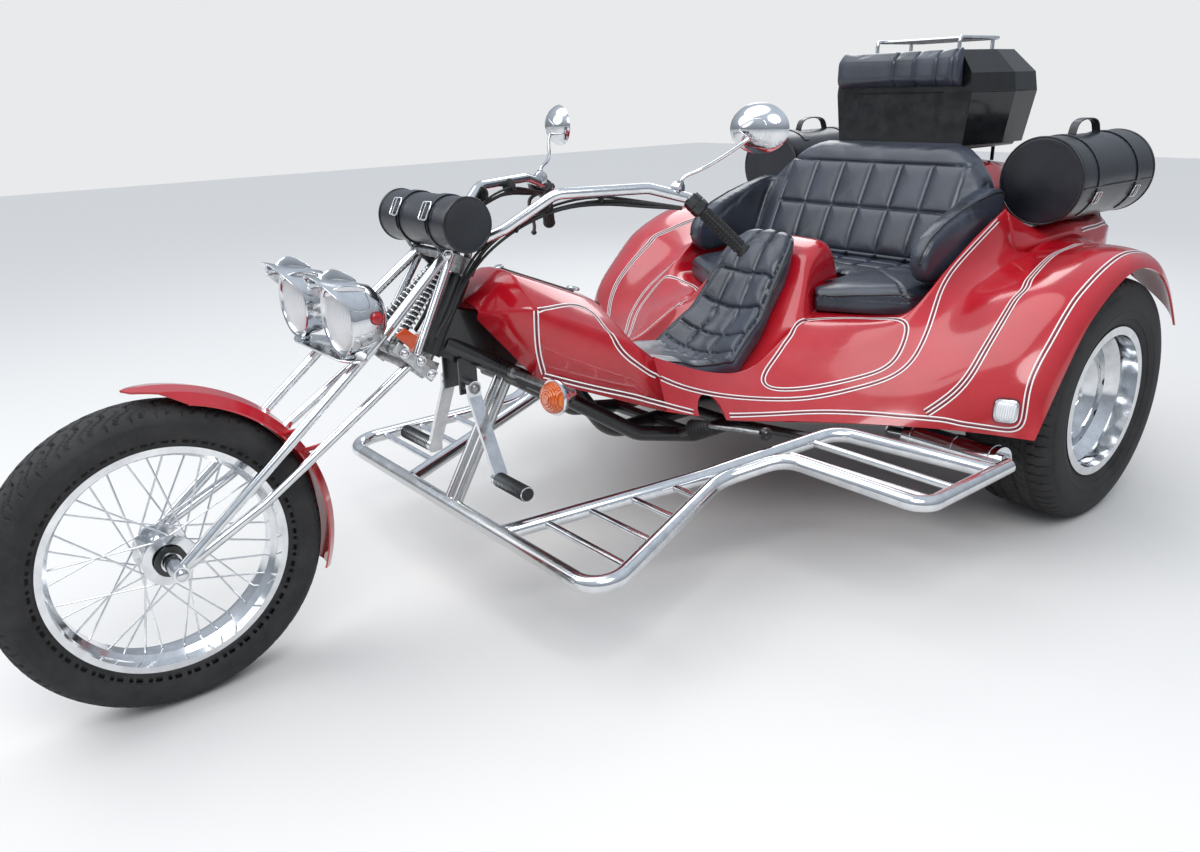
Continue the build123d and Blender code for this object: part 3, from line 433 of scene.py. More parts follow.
# The red body: rows of y and z at each station, from the arch lip to the middle
TUB_STATIONS = [
    (1085, [(262, 420), (240, 480), (212, 552), (170, 530), (0, 520)]),
    (990, [(288, 392), (254, 452), (219, 510), (184, 478), (0, 462)]),
    (900, [(318, 365), (262, 430), (226, 474), (198, 432), (0, 410)]),
    (745, [(400, 350), (300, 415), (234, 440), (206, 402), (0, 382)]),
    (610, [(560, 348), (400, 440), (230, 535), (206, 492), (0, 470)]),
]
BENCH_FLOOR = [(470, 556), (130, 556), (110, 556), (0, 556)]
REAR_STATIONS = [
    (500, [
        (735, 348), (728, 375), (650, 430), (560, 452), (420, 500), (400, 508), (260, 548), (232, 555),
        (196, 620), (0, 615),
    ]),
    (440, [
        (875, 345), (868, 470), (750, 535), (560, 510), (474, 550), (460, 551), (300, 555), (176, 556),
        (160, 700), (0, 700),
    ]),
    (350, [
        (875, 470), (866, 560), (745, 618), (545, 560), (488, 620), (476, 618), (470, 556), (160, 556),
        (140, 742), (0, 752),
    ]),
    (270, [
        (875, 572), (864, 645), (742, 678), (530, 600), (488, 680), (476, 678), (470, 556), (140, 556),
        (120, 740), (0, 748),
    ]),
    (235, [(875, 606), (864, 670), (740, 696), (527, 613), (488, 698), (476, 696)] + BENCH_FLOOR),
    (140, [(875, 667), (863, 715), (738, 731), (523, 640), (488, 754), (476, 752)] + BENCH_FLOOR),
    (40, [(875, 706), (862, 745), (735, 755), (520, 665), (488, 800), (476, 798)] + BENCH_FLOOR),
    (-30, [
        (875, 706), (862, 745), (735, 755), (520, 680), (484, 825), (472, 823), (466, 556), (130, 556),
        (110, 556), (0, 556),
    ]),
]
BACK_STATIONS = [
    (-30, [
        (875, 706), (862, 745), (735, 755), (520, 680), (484, 825), (466, 740), (455, 655), (100, 655),
        (0, 655),
    ]),
    (-95, [
        (875, 690), (862, 735), (735, 751), (530, 702), (494, 789), (433, 752), (378, 792), (100, 797),
        (0, 798),
    ]),
    (-160, [
        (875, 668), (862, 720), (735, 745), (540, 725), (505, 752), (400, 765), (300, 930), (100, 940),
        (0, 941),
    ]),
    (-250, [
        (874, 590), (860, 655), (735, 705), (560, 735), (520, 769.6), (390, 769.6), (300, 930), (100, 942),
        (0, 943),
    ]),
    (-335, [
        (870, 467), (855, 545), (735, 620), (572, 735), (540, 769.6), (385, 769.6), (300, 930), (100, 942),
        (0, 943),
    ]),
]
TAIL_STATIONS = [
    (-450, [(575, 442), (559, 734.5), (527, 768), (382, 768), (295, 915), (100, 927), (0, 928)]),
    (-560, [(560, 430), (545, 734), (515, 766), (380, 766), (290, 900), (100, 912), (0, 913)]),
]
NOSE_STATIONS = [
    (1492, [(62, 690), (72, 712), (46, 722), (22, 724), (0, 725)]),
    (1395, [(150, 545), (152, 713), (72, 782), (26, 789), (0, 790)]),
    (1150, [(238, 445), (208, 600), (66, 682), (26, 689), (0, 690)]),
    (1085, [(262, 420), (212, 552), (170, 530), (60, 522), (0, 520)]),
]


def tub_half(five):
    """The tub's five corners as ten, to run on into the rear body's."""
    sill, knee, rim, pan, middle = five
    return [
        sill, between(sill, knee, 0.12), between(sill, knee, 0.5), knee, between(knee, rim, 0.43),
        between(knee, rim, 0.52), between(knee, rim, 0.88), rim, pan, middle,
    ]


def rounded(obj, levels):
    """Round the piece over its corners."""
    smooth = obj.modifiers.new("round", "SUBSURF")
    smooth.levels = levels
    smooth.render_levels = levels


def walled(obj, thickness, offset):
    """Give a skin its thickness, in metres: outwards at 1, inwards at -1."""
    wall = obj.modifiers.new("wall", "SOLIDIFY")
    wall.thickness = thickness
    wall.offset = offset


def soft_edges(obj, width, segments=2):
    """Round a plate's edges."""
    edge = obj.modifiers.new("edge", "BEVEL")
    edge.width = width
    edge.segments = segments
    edge.limit_method = "ANGLE"


MOULDING_WALL = 0.006


def glass_fibre(obj, levels):
    """Round the panel over its corners and give it its wall."""
    rounded(obj, levels)
    walled(obj, MOULDING_WALL, -1)
    return obj


def skin():
    """An empty mesh that can hold crisp corners and edges."""
    shape = bmesh.new()
    shape.verts.layers.float.new("crease_vert")
    shape.edges.layers.float.new("crease_edge")
    return shape


def crease_row(shape, corners, amount):
    """Hold a row of corners as a crisp line."""
    sharp = shape.edges.layers.float["crease_edge"]
    for here, there in zip(corners, corners[1:]):
        edge = shape.edges.get((here, there))
        if edge:
            edge[sharp] = amount


def faces_up(shape):
    """Turn the skin's faces to the outside: those over the middle look up."""
    shape.normal_update()
    total = sum(face.normal.z * face.calc_area() for face in shape.faces)
    if total < 0:
        bmesh.ops.reverse_faces(shape, faces=shape.faces)


def main_body():
    """Tub, rear body and fenders as one moulding."""
    shape = skin()
    rows = [placed(x, tub_half(half)) for x, half in TUB_STATIONS]
    rows += [placed(x, half) for x, half in REAR_STATIONS]
    corners = across_rows(shape, rows)
    hold = shape.verts.layers.float["crease_vert"]
    count = len(corners[0])
    front_corners = [corners[len(TUB_STATIONS) + 1][index] for index in (0, count - 1)]
    for vert in corners[0] + front_corners:
        vert[hold] = 1.0
    for column, amount in ((7, 0.75), (8, 0.35), (4, 0.35), (5, 0.35), (0, 0.0)):
        for index in (column, count - 1 - column):
            crease_row(shape, [row[index] for row in corners], amount)
    # the fenders run on behind the bench
    for mirror in (1, -1):
        start = corners[-1][:4] if mirror == 1 else corners[-1][:-5:-1]
        near = [shape.edges.get(pair) for pair in zip(start, start[1:])]
        for x, half in BACK_STATIONS[1:]:
            line = [shape.verts.new(at(x, mirror * y, z)) for y, z in half[:4]]
            far = [shape.edges.new(pair) for pair in zip(line, line[1:])]
            bmesh.ops.bridge_loops(shape, edges=near + far)
            near = far
    faces_up(shape)
    obj = glass_fibre(made("body_moulding", shape, RED, "chassis", 50, outward=False), 3)
    return show_as(obj, "rider_tub", "rear_body", "fender_left", "fender_right")


def tail_body():
    """The tail, with the shelf for the bags, and its flat back."""
    shape = skin()
    rows = [placed(x, half[3:]) for x, half in BACK_STATIONS]
    rows += [placed(x, half) for x, half in TAIL_STATIONS]
    corners = across_rows(shape, rows)
    hold = shape.verts.layers.float["crease_vert"]
    for vert in corners[-1]:
        vert[hold] = 0.9
    crease_row(shape, corners[-1], 0.9)
    for index in (1, 2, 3, -2, -3, -4):
        crease_row(shape, [row[index] for row in corners], 0.5)
    faces_up(shape)
    lower = shape.edges.new((corners[-1][0], corners[-1][-1]))
    rim = [shape.edges.get(pair) for pair in zip(corners[-1], corners[-1][1:])] + [lower]
    bmesh.ops.edgeloop_fill(shape, edges=rim)
    obj = glass_fibre(made("tail_moulding", shape, RED, "chassis", 50), 2)
    return show_as(obj, "tail_shell")


def nose_body():
    """Nose and tank: flat facets that meet in slightly rounded edges."""
    shape = bmesh.new()
    across_rows(shape, [placed(x, half) for x, half in NOSE_STATIONS])
    faces_up(shape)
    sharp = [edge for edge in shape.edges if len(edge.link_faces) == 2 and edge.calc_face_angle(0) > 0.12]
    bmesh.ops.bevel(
        shape, geom=sharp, offset=0.007, offset_type="OFFSET", segments=3, profile=0.5, affect="EDGES",
        material=-1, clamp_overlap=True,
    )
    obj = made("nose_moulding", shape, RED, "chassis", 40, outward=False)
    walled(obj, MOULDING_WALL, -1)
    return show_as(obj, "nose_shell")


moulding = main_body()
tail = tail_body()
nose = nose_body()


# Padded pieces: a rough form is filled, then its channels are sewn in
def refined(mesh, name, kind, **settings):
    """The mesh after one modifier."""
    obj = bpy.data.objects.new(name, mesh)
    bpy.context.scene.collection.objects.link(obj)
    step = obj.modifiers.new("step", kind)
    for key, value in settings.items():
        setattr(step, key, value)
    result = bpy.data.meshes.new_from_object(obj.evaluated_get(bpy.context.evaluated_depsgraph_get()))
    bpy.data.objects.remove(obj)
    return result


def vectors(source, key):
    """One vector of each of a mesh's points, as rows."""
    values = np.zeros(len(source) * 3, np.float32)
    source.foreach_get(key, values)
    return values.reshape(-1, 3)


def move_to(mesh, spots):
    mesh.vertices.foreach_set("co", spots.astype(np.float32).ravel())
    mesh.update()


FILL_FRAMES = 20
FILL_PRESSURE = 4


def stuffed(name, shape, voxel, cap, smooth=4):
    """Fill the form with foam: a fine even mesh that swells by no more than the cap, in millimetres."""
    mesh = refined(form_mesh(name, shape), name, "REMESH", mode="VOXEL", voxel_size=voxel / 1000)
    mesh = refined(mesh, name, "SMOOTH", iterations=smooth, factor=0.5)
    start = vectors(mesh.vertices, "co")
    obj = bpy.data.objects.new(name, mesh)
    bpy.context.scene.collection.objects.link(obj)
    cloth = obj.modifiers.new("fill", "CLOTH")
    cloth.settings.use_pressure = True
    cloth.settings.uniform_pressure_force = FILL_PRESSURE
    cloth.settings.effector_weights.gravity = 0
    cloth.point_cache.frame_start = 1
    cloth.point_cache.frame_end = FILL_FRAMES
    for frame_number in range(1, FILL_FRAMES + 1):
        bpy.context.scene.frame_set(frame_number)
    swollen = bpy.data.meshes.new_from_object(obj.evaluated_get(bpy.context.evaluated_depsgraph_get()))
    bpy.data.objects.remove(obj)
    bpy.context.scene.frame_set(1)
    move = vectors(swollen.vertices, "co") - start
    length = np.maximum(np.linalg.norm(move, axis=1), 1e-9)
    move *= (np.minimum(length, cap / 1000) / length)[:, None]
    mesh = swollen
    move_to(mesh, start + move)
    return refined(mesh, name, "SUBSURF", levels=1, render_levels=1)


def sewn(mesh, height):
    """Move each point along its normal by a height in millimetres, worked out from its place."""
    spots = vectors(mesh.vertices, "co")
    normals = vectors(mesh.vertex_normals, "vector")
    x = (spots[:, 0] + AXLE_TO_ORIGIN) * 1000
    y = spots[:, 1] * 1000
    z = spots[:, 2] * 1000
    lift = height(x, y, z, normals) / 1000
    move_to(mesh, spots + normals * lift[:, None])
    return mesh


def nearest(values, lines):
    """How far each value is from the nearest line."""
    return np.min(np.abs(values[:, None] - np.array(lines)[None, :]), axis=1)


def quilt(near, puff, pull):
    """A square's rise away from its seams, and the stitched seam's narrow groove."""
    return puff * (1 - np.exp(-near / 13)) - pull * np.exp(-((near / 3.2) ** 2))


def inside(values, low, high, blend=6):
    """One between the limits, nought outside, with a soft edge."""
    return 1 / (1 + np.exp(-(values - low) / blend)) / (1 + np.exp((values - high) / blend))


def cushion(name, mesh, look, body, fill, *replaced):
    obj = settle(name, mesh, look, body, 60)
    return show_as(obj, *replaced)


# Rider's seat. Each row: station, half width, height of the foot at the edge and middle, of the top
# at the edge and middle
RIDER_ROWS = [
    (1078, 98, 509, 502, 524, 524), (1066, 134, 505, 495, 532, 530), (1028, 166, 487, 473, 521, 512),
    (950, 184, 458, 438, 503, 487), (900, 188, 431, 410, 483, 460), (820, 186, 417, 397, 470, 445),
    (745, 178, 402, 383, 459, 431), (680, 164, 447, 426, 507, 480), (610, 152, 492, 471, 553, 527),
    (555, 140, 556, 543, 633, 617), (500, 133, 620, 616, 710, 706), (470, 124, 661, 659, 741, 742),
    (440, 106, 701, 701, 766, 771), (415, 80, 713, 716, 765, 774), (402, 48, 720, 724, 755, 763),
]
RIDER_COLUMNS = (-137, -47, 47, 137)
RIDER_LINES = (725, 668, 594, 536)


def rider_section(row):
    """One closed section of the seat, from the left foot over the top to the right foot."""
    x, half, foot_edge, foot_middle, top_edge, top_middle = row
    side = top_edge - foot_edge
    left = [
        (half - 3, foot_edge), (half, foot_edge + side * 0.4), (half - 3, foot_edge + side * 0.78),
        (half - 14, top_edge - 3),
        (half * 0.8, top_edge + 1), (half * 0.5, top_edge + (top_middle - top_edge) * 0.62),
    ]
    over = left + [(0, top_middle)] + [(-y, z) for y, z in left[::-1]]
    sole = (foot_edge + foot_middle) / 2
    return [(x, y, z) for y, z in over + [(-half * 0.5, sole), (0, foot_middle), (half * 0.5, sole)]]


def rider_height(x, side=0):
    rows = np.array(RIDER_ROWS[::-1])
    return np.interp(x, rows[:, 0], rows[:, 5] + (rows[:, 4] - rows[:, 5]) * side)


def rider_travel(x):
    """How far along the seat's top each station is, in millimetres."""
    stations = np.linspace(400, 1060, 133)
    heights = rider_height(stations)
    steps = np.hypot(np.diff(stations), np.diff(heights))
    return np.interp(x, stations, np.concatenate([[0], np.cumsum(steps)]))


def rider_cushion():
    """The rider's scoop seat: quilted squares within a plain border."""
    shape = solid([rider_section(row) for row in RIDER_ROWS])
    mesh = stuffed("rider_cushion", shape, 8.4, 7)
    halves = np.array(RIDER_ROWS[::-1])

    def height(x, y, z, normals):
        half = np.interp(x, halves[:, 0], halves[:, 1])
        across = y * 165 / np.maximum(half, 90)
        travel = rider_travel(x)
        seams = [rider_travel(line) for line in RIDER_LINES]
        near = np.minimum(nearest(across, RIDER_COLUMNS), nearest(travel, seams))
        top = inside(normals[:, 2], 0.25, 9, 0.06)
        field = inside(np.abs(across), -9, 138, 2) * inside(travel, rider_travel(416), rider_travel(728), 3)
        # the leather gathers where the seat bends
        folds = 1.6 * np.sin(y * 0.16 + np.sin(x * 0.05) * 2)
        gathers = folds * np.exp(-(((x - 768) / 34) ** 2)) * (np.abs(y) < 120)
        return top * (field * quilt(near, 9, 6) + (1 - field) * (4 + gathers))

    return cushion("rider_cushion", sewn(mesh, height), LEATHER, "chassis", 0.7, "rider_seat")


# Bench: outline of the seat from above, on the left, with the notch for the hump
BENCH_OUTLINE = [
    (-14, 0), (-14, 392), (60, 410), (196, 444), (328, 444), (392, 335), (440, 240), (456, 208), (448, 194),
    (300, 180), (240, 166), (238, 0),
]
BENCH_COLUMNS = (-330, -220, -110, 0, 110, 220, 330)


def bench_cushion():
    """The bench seat: sewn rows at the rear, plain lobes in front on both sides of the hump."""
    outline = BENCH_OUTLINE + [(x, -y) for x, y in BENCH_OUTLINE[-2:0:-1]]
    middle = (215, 0)

    def ring(z, inset):
        places = []
        for x, y in outline:
            long = math.hypot(x - middle[0], y)
            share = 1 - inset / max(long, 60)
            lower = (z - 558) * 0.16 * max(0.0, min(1.0, (x - 330) / 110))
            places.append((middle[0] + (x - middle[0]) * share, y * share, z - lower))
        return places

    shape = solid([
        ring(558, 8), ring(575, 0), ring(598, 0), ring(615, 6), ring(628, 20), ring(636, 44), ring(638, 80),
    ])
    mesh = stuffed("bench_cushion", shape, 9.5, 9, 5)

    def height(x, y, z, normals):
        top = inside(normals[:, 2], 0.35, 9, 0.06)
        sewn_rows = inside(x, -40, 165, 3)
        near = np.minimum(nearest(x, (22, 95, 165)), nearest(y, BENCH_COLUMNS) + 60 * (x > 168))
        seam = np.abs((np.abs(y) - 205) * 0.62 - (x - 175) * 0.785)
        lobe = (x > 165) * np.exp(-((seam / 3.5) ** 2))
        side_seam = np.exp(-(((z - 604) / 3) ** 2)) * (normals[:, 2] < 0.5)
        return top * (sewn_rows * quilt(near, 7, 5) + (1 - sewn_rows) * (5 - 6 * lobe)) - 3 * side_seam

    return cushion("bench_cushion", sewn(mesh, height), LEATHER, "chassis", 0.7, "bench_base")


def bench_front(z):
    return 68 - (z - 645) * 0.489


def bench_rear(z):
    return -22 - (z - 645) * 0.45


def back_section(y, top):
    """A section of the bench back: up its front, over its top and down its rear."""
    profile = [(bench_front(z), z) for z in (645, 700, 780, (780 + top) / 2 + 10, top - 26)]
    crown = bench_front(top) * 0.5 + bench_rear(top) * 0.5
    profile += [
        (bench_front(top) - 10, top - 6), (crown, top), (bench_rear(top) + 8, top - 8),
        (bench_rear(top - 30), top - 30),
    ]
    profile += [(bench_rear(z), z) for z in ((780 + top) / 2, 780, 700, 645)]
    return [(x, y, z) for x, z in profile]


WING = [
    (-30, 648), (-60, 740), (-92, 836), (-96, 862), (-76, 880), (-20, 880), (70, 864), (150, 842),
    (230, 812), (296, 776), (328, 738), (330, 700), (312, 664), (280, 648), (120, 646),
]


def wing_section(y, grow):
    middle = (110, 760)
    return [(middle[0] + (x - middle[0]) * grow, y, middle[1] + (z - middle[1]) * grow) for x, z in WING]


def bench_backrest():
    """Back and wings as one horseshoe: two rows of squares in the middle, plain wings."""
    shape = bmesh.new()
    tops = [(-402, 884), (-380, 915), (-330, 962), (-290, 988), (-250, 1001), (-125, 1003), (0, 1003)]
    solid([back_section(y, top) for y, top in tops + [(-y, top) for y, top in tops[-2::-1]]], shape)
    for side in (1, -1):
        slices = ((396, 0.95), (404, 0.985), (430, 1.0), (448, 0.985), (457, 0.95))
        solid([wing_section(side * y, grow) for y, grow in slices], shape)
    mesh = stuffed("bench_backrest", shape, 10, 9, 5)

    def height(x, y, z, normals):
        front = inside(normals[:, 0], 0.3, 9, 0.08) * inside(np.abs(y), -9, 388, 3)
        field = inside(z, 600, 935, 3) * inside(np.abs(y), -9, 330, 2)
        near = np.minimum(nearest(z, (668, 800, 935)), nearest(y, BENCH_COLUMNS) + 60 * (z > 938))
        edge = np.exp(-(((np.abs(y) - 391) / 4) ** 2)) * (x > bench_front(z) - 30)
        band = np.exp(-((nearest(z, (935,)) / 3.2) ** 2)) * inside(np.abs(y), -9, 345, 3)
        wing_seam = np.exp(-(((np.abs(y) - 452) / 3) ** 2)) * inside(normals[:, 2], 0.2, 9, 0.1)
        return front * (field * quilt(
            near, 8, 5.5,
        ) + (1 - field) * (4 - 5 * band)) - 5 * edge - 3 * wing_seam

    return cushion("bench_backrest", sewn(mesh, height), LEATHER, "chassis", 0.7, "bench_back")


def box_backrest():
    """The pad on the top box, with three sewn pleats on its left half."""
    profile = [(-180, 1152), (-146, 1156), (-134, 1178), (-137, 1236), (-160, 1266), (-180, 1270)]
    shape = solid([[(x, y, z) for x, z in profile] for y in (-223, -120, 0, 120, 223)])
    mesh = stuffed("box_backrest", shape, 7, 5, 3)

    def height(x, y, z, normals):
        front = inside(normals[:, 0], 0.2, 9, 0.08)
        near = nearest(y, (0, 75, 150, 205))
        return front * inside(y, -9, 212, 4) * quilt(near, 4, 4) + 2 * front * (y < -9)

    return cushion("box_backrest", sewn(mesh, height), LEATHER, "top_box_lid", 0.8, "lid_pad")


rider_cushion()
bench_cushion()
bench_backrest()
box_backrest()


# Rounds, straps and small metalwork
def basis(direction):
    """Two directions square to a line and to each other."""
    along = Vector(direction).normalized()
    first = along.cross(Vector((0, 0, 1)) if abs(along.z) < 0.9 else Vector((1, 0, 0))).normalized()
    return along, first, along.cross(first)


def full_turn(count):
    """The angles of a full turn in even steps."""
    return [2 * math.pi * step / count for step in range(count)]


def circle(middle, first, second, radius, turns):
    """Places round a middle, at these angles from the first direction."""
    return [tuple(middle + (first * math.cos(turn) + second * math.sin(turn)) * radius) for turn in turns]


def lathe(name, start, direction, profile, look, body, steps=48, degrees=35):
    """A round piece about a line. Its profile gives ways along the line and the radius at each."""
    along, first, second = basis(direction)
    turns = full_turn(steps)
    rows = []
    for way, radius in profile:
        rows.append(circle(Vector(start) + along * way, first, second, max(radius, 0.05), turns))
    return made(name, solid(rows), look, body, degrees)


def dome(start_radius, rise, steps=5, start=0.0):
    """The profile of a dome."""
    turns = [math.pi / 2 * step / steps for step in range(steps + 1)]
    return [(start + rise * math.sin(turn), start_radius * math.cos(turn)) for turn in turns]


def flat_bolt(name, place, direction, radius, height, look, body):
    """A round-headed bolt on a washer."""
    washer = [(0, radius * 1.45), (height * 0.2, radius * 1.45), (height * 0.2, radius)]
    profile = washer + [(height * 0.5 + way, wide) for way, wide in dome(radius, height * 0.5, 4)]
    return lathe(name, place, direction, profile, look, body, 20, 40)


def strap(name, points, facing, width, thick, look, body):
    """A flat strap along the places; facing gives the way its face looks from each place."""
    rows = []
    for index, place in enumerate(points):
        here = Vector(place)
        after, before = points[min(index + 1, len(points) - 1)], points[max(index - 1, 0)]
        ahead = (Vector(after) - Vector(before)).normalized()
        out = Vector(facing(place)).normalized()
        side = ahead.cross(out).normalized() * width / 2
        lift = out * thick
        rows.append([
            tuple(here - side), tuple(here + side), tuple(here + side + lift), tuple(here - side + lift),
        ])
    obj = made(name, solid(rows), look, body, 40)
    soft_edges(obj, 0.0006)
    return obj


def buckle(name, place, along, out, length, width, body):
    """A chrome buckle: a rectangle of round bar with its tongue."""
    middle = Vector(place)
    along = Vector(along).normalized()
    side = along.cross(Vector(out)).normalized()
    corners = []
    for a, s in ((-1, -0.8), (-0.8, -1), (0.8, -1), (1, -0.8), (1, 0.8), (0.8, 1), (-0.8, 1), (-1, 0.8)):
        corners.append(tuple(middle + along * a * length / 2 + side * s * width / 2))
    strand(name, corners, 2.0, CHROME, body, closed=True, straight=True)
    lift = Vector(out).normalized() * 2
    ends = [tuple(middle - along * length / 2 + lift), tuple(middle + along * length / 2 + lift)]
    strand(name + "_tongue", ends, 1.4, CHROME, body, straight=True)


def eased(points, closed=False, rounds=3):
    """Round a line's corners by cutting them again and again."""
    for _ in range(rounds):
        pairs = list(zip(points, points[1:] + (points[:1] if closed else [])))
        cut = [between(a, b, share) for a, b in pairs for share in (0.25, 0.75)]
        points = cut if closed else [points[0]] + cut + [points[-1]]
    return points


def evenly(points, gap, closed=False):
    """Places along a line at even gaps, in millimetres."""
    line = [Vector(place) for place in (points + points[:1] if closed else points)]
    spots = [line[0]]
    left = gap
    for here, there in zip(line, line[1:]):
        length = (there - here).length
        done = 0.0
        while length - done >= left:
            done += left
            spots.append(here + (there - here) * (done / length))
            left = gap
        left -= length - done
    return spots


def cut_away(obj, cutter):
    """Cut a form out of a piece, and keep the result as its mesh."""
    cut = obj.modifiers.new("cut", "BOOLEAN")
    cut.object = cutter
    cut.operation = "DIFFERENCE"
    cut.solver = "EXACT"
    view = bpy.context.evaluated_depsgraph_get()
    mesh = bpy.data.meshes.new_from_object(obj.evaluated_get(view))
    obj.modifiers.clear()
    obj.data = mesh
    shaded(mesh, 50)
    bpy.data.objects.remove(cutter)


def gear_arch():
    """The arch in the tub's left edge that the gear lever passes through."""
    turns = [math.radians(angle) for angle in range(180, -1, -12)]
    arch = [(960 + 38 * math.cos(turn), 392 + 46 * math.sin(turn)) for turn in turns]
    outline = [(922, 300)] + arch + [(998, 300)]
    shape = solid([[(x, y, z) for x, z in outline] for y in (215, 400)])
    cutter = bpy.data.objects.new("gear_arch", form_mesh("gear_arch", shape))
    bpy.context.scene.collection.objects.link(cutter)
    cut_away(moulding, cutter)


gear_arch()


# Pinstripes: places on the left side, snapped to the moulding and laid as thin lines
SKINS = [BVHTree.FromObject(obj, bpy.context.evaluated_depsgraph_get()) for obj in (moulding, nose, tail)]
STRIPES = {
    "front_edge": [(1389, 153, 708), (1391, 153, 654), (1389, 153, 603), (1378, 157, 556)],
    "tank_edge": [
        (1383, 154, 708), (1344, 142, 706), (1286, 120, 703), (1230, 104, 696), (1196, 112, 674),
        (1200, 150, 648), (1195, 195, 606), (1169, 211, 563), (1102, 224, 511), (1028, 245, 470),
        (956, 259, 441), (869, 284, 416), (791, 320, 401), (710, 376, 396), (653, 420, 405),
        (598, 465, 421), (553, 507, 439), (513, 534, 460), (469, 547, 494), (415, 539, 540),
        (346, 515, 599), (297, 500, 647), (240, 494, 690), (120, 492, 752), (20, 492, 800),
    ],
    "lower_edge": [
        (1378, 156, 552), (1280, 192, 512), (1150, 240, 466), (1085, 262, 438), (1006, 284, 406),
    ],
    "lower_rear": [
        (912, 312, 384), (818, 346, 372), (712, 410, 369), (634, 496, 369), (553, 623, 368),
        (506, 723, 366), (480, 790, 364), (462, 832, 363), (452, 846, 372), (448, 846, 400),
        (438, 842, 480), (395, 840, 535), (350, 840, 575), (300, 840, 630), (255, 840, 664),
        (200, 840, 692), (140, 838, 716), (40, 838, 746), (-30, 838, 746), (-95, 838, 738),
        (-160, 836, 722), (-250, 834, 664), (-322, 832, 580),
    ],
    "valley": [
        (545, 640, 383), (517, 663, 408), (489, 689, 442), (461, 705, 484), (422, 709, 533),
        (371, 708, 578), (316, 704, 622), (232, 697, 672), (93, 673, 711), (-20, 655, 726),
        (-140, 655, 738),
    ],
    "tail_side": [(-345, 578, 745), (-440, 566, 745), (-540, 552, 745)],
}
SIDE_PANEL = [
    (540, 216, 556), (465, 251, 553), (411, 336, 558), (405, 430, 573), (412, 484, 563), (451, 500, 523),
    (492, 505, 483), (532, 491, 460), (586, 446, 440), (641, 399, 424), (705, 350, 415), (762, 306, 418),
    (768, 285, 430), (728, 262, 453), (662, 252, 490), (596, 236, 524),
]


def on_body(place):
    """The nearest place on the moulding, and the way its surface looks."""
    spot = at(*place)
    outward = Vector((0.6, math.copysign(0.8, place[1]), 0.6))
    for _ in range(3):
        found = [skin_tree.find_nearest(spot) for skin_tree in SKINS]
        hit = min((hit for hit in found if hit[0] is not None), key=lambda hit: hit[3])
        if hit[1].dot(outward) > 0:
            break
        # the nearest face is the wall's inner one or its edge: look again from outside
        spot = hit[0] + outward.normalized() * 0.014
    return hit[0], hit[1]


def painted_line(name, hits, offset, width, look, closed):
    """One line of paint beside the snapped places."""
    count = len(hits)
    shape = bmesh.new()
    edges = []
    for reach in (offset - width / 2, offset + width / 2):
        chain = []
        for index, (spot, normal) in enumerate(hits):
            after = hits[(index + 1) % count if closed else min(index + 1, count - 1)][0]
            before = hits[(index - 1) % count if closed else max(index - 1, 0)][0]
            side = normal.cross(after - before).normalized()
            chain.append(shape.verts.new(spot + side * reach / 1000 + normal * 0.0005))
        ends = chain[1:] + (chain[:1] if closed else [])
        edges += [shape.edges.new(pair) for pair in zip(chain, ends)]
    bmesh.ops.bridge_loops(shape, edges=edges)
    obj = made(name, shape, look, "chassis", 60)
    walled(obj, 0.0004, 0)


STRIPE_WIDTH = 3.4
CORE_WIDTH = 3.0
STRIPE_GAP = 10.0


def pinstripe(name, guide, closed=False, triple=False):
    """White lines with a dull line between, laid on the red surface."""
    hits = [on_body(spot) for spot in evenly(eased(guide, closed), 9, closed)]
    for _ in range(6):
        spots = [hit[0] for hit in hits]
        count = len(spots)
        for index in range(0 if closed else 1, count if closed else count - 1):
            mean = (spots[index - 1] + spots[(index + 1) % count]) / 2 * 0.5 + spots[index] * 0.5
            hits[index] = on_body(from_model(mean))
    count = 3 if triple else 2
    for index in range(count):
        offset = (index - (count - 1) / 2) * STRIPE_GAP
        painted_line(f"pinstripe_{name}_{index}", hits, offset, STRIPE_WIDTH, STRIPE_WHITE, closed)
        if index:
            core = offset - STRIPE_GAP / 2
            painted_line(f"pinstripe_{name}_core_{index}", hits, core, CORE_WIDTH, STRIPE_GREY, closed)


for stripe_name, guide in STRIPES.items():
    for side_name, places in named_sides(guide):
        pinstripe(f"{stripe_name}_{side_name}", places, triple=stripe_name == "valley")
for side_name, places in named_sides(SIDE_PANEL):
    pinstripe(f"side_panel_{side_name}", places, closed=True)


# Bags: rolled leather barrels with piped ends, straps and buckles
def barrel(name, start, direction, length, radius, body, node):
    """A leather barrel, slack between its piped ends."""
    sag = 0.985
    profile = [
        (2, 0), (2, radius * 0.86), (0, radius * 0.93), (2, radius - 1), (8, radius),
        (length * 0.2, radius * sag), (length * 0.5, radius * 0.978),
        (length * 0.8, radius * sag), (length - 8, radius), (length - 2, radius - 1),
        (length, radius * 0.93), (length - 2, radius * 0.86), (length - 2, 0),
    ]
    obj = lathe(name, start, direction, profile, BAG_LEATHER, body, 64, 50)
    along, first, second = basis(direction)
    for end, way in (("near", 3), ("far", length - 3)):
        ring = circle(Vector(start) + along * way, first, second, radius - 1, full_turn(32))
        strand(f"{name}_piping_{end}", ring, 3.0, PIPING, body, closed=True)
    rounded(obj, 1)
    if node:
        show_as(obj, node)
    return obj


def ring_strap(name, centre, direction, radius, width, body, first_degree=0, last_degree=360):
    """A strap round a barrel, between two angles counted from the first square direction."""
    _, first, second = basis(direction)
    middle = Vector(centre)
    turns = [math.radians(first_degree + (last_degree - first_degree) * k / 40) for k in range(41)]
    places = circle(middle, first, second, radius, turns)
    return strap(name, places, lambda place: Vector(place) - middle, width, 3, BAG_LEATHER, body)


ROLL_MIDDLE = Vector((1548, 0, 916.4))


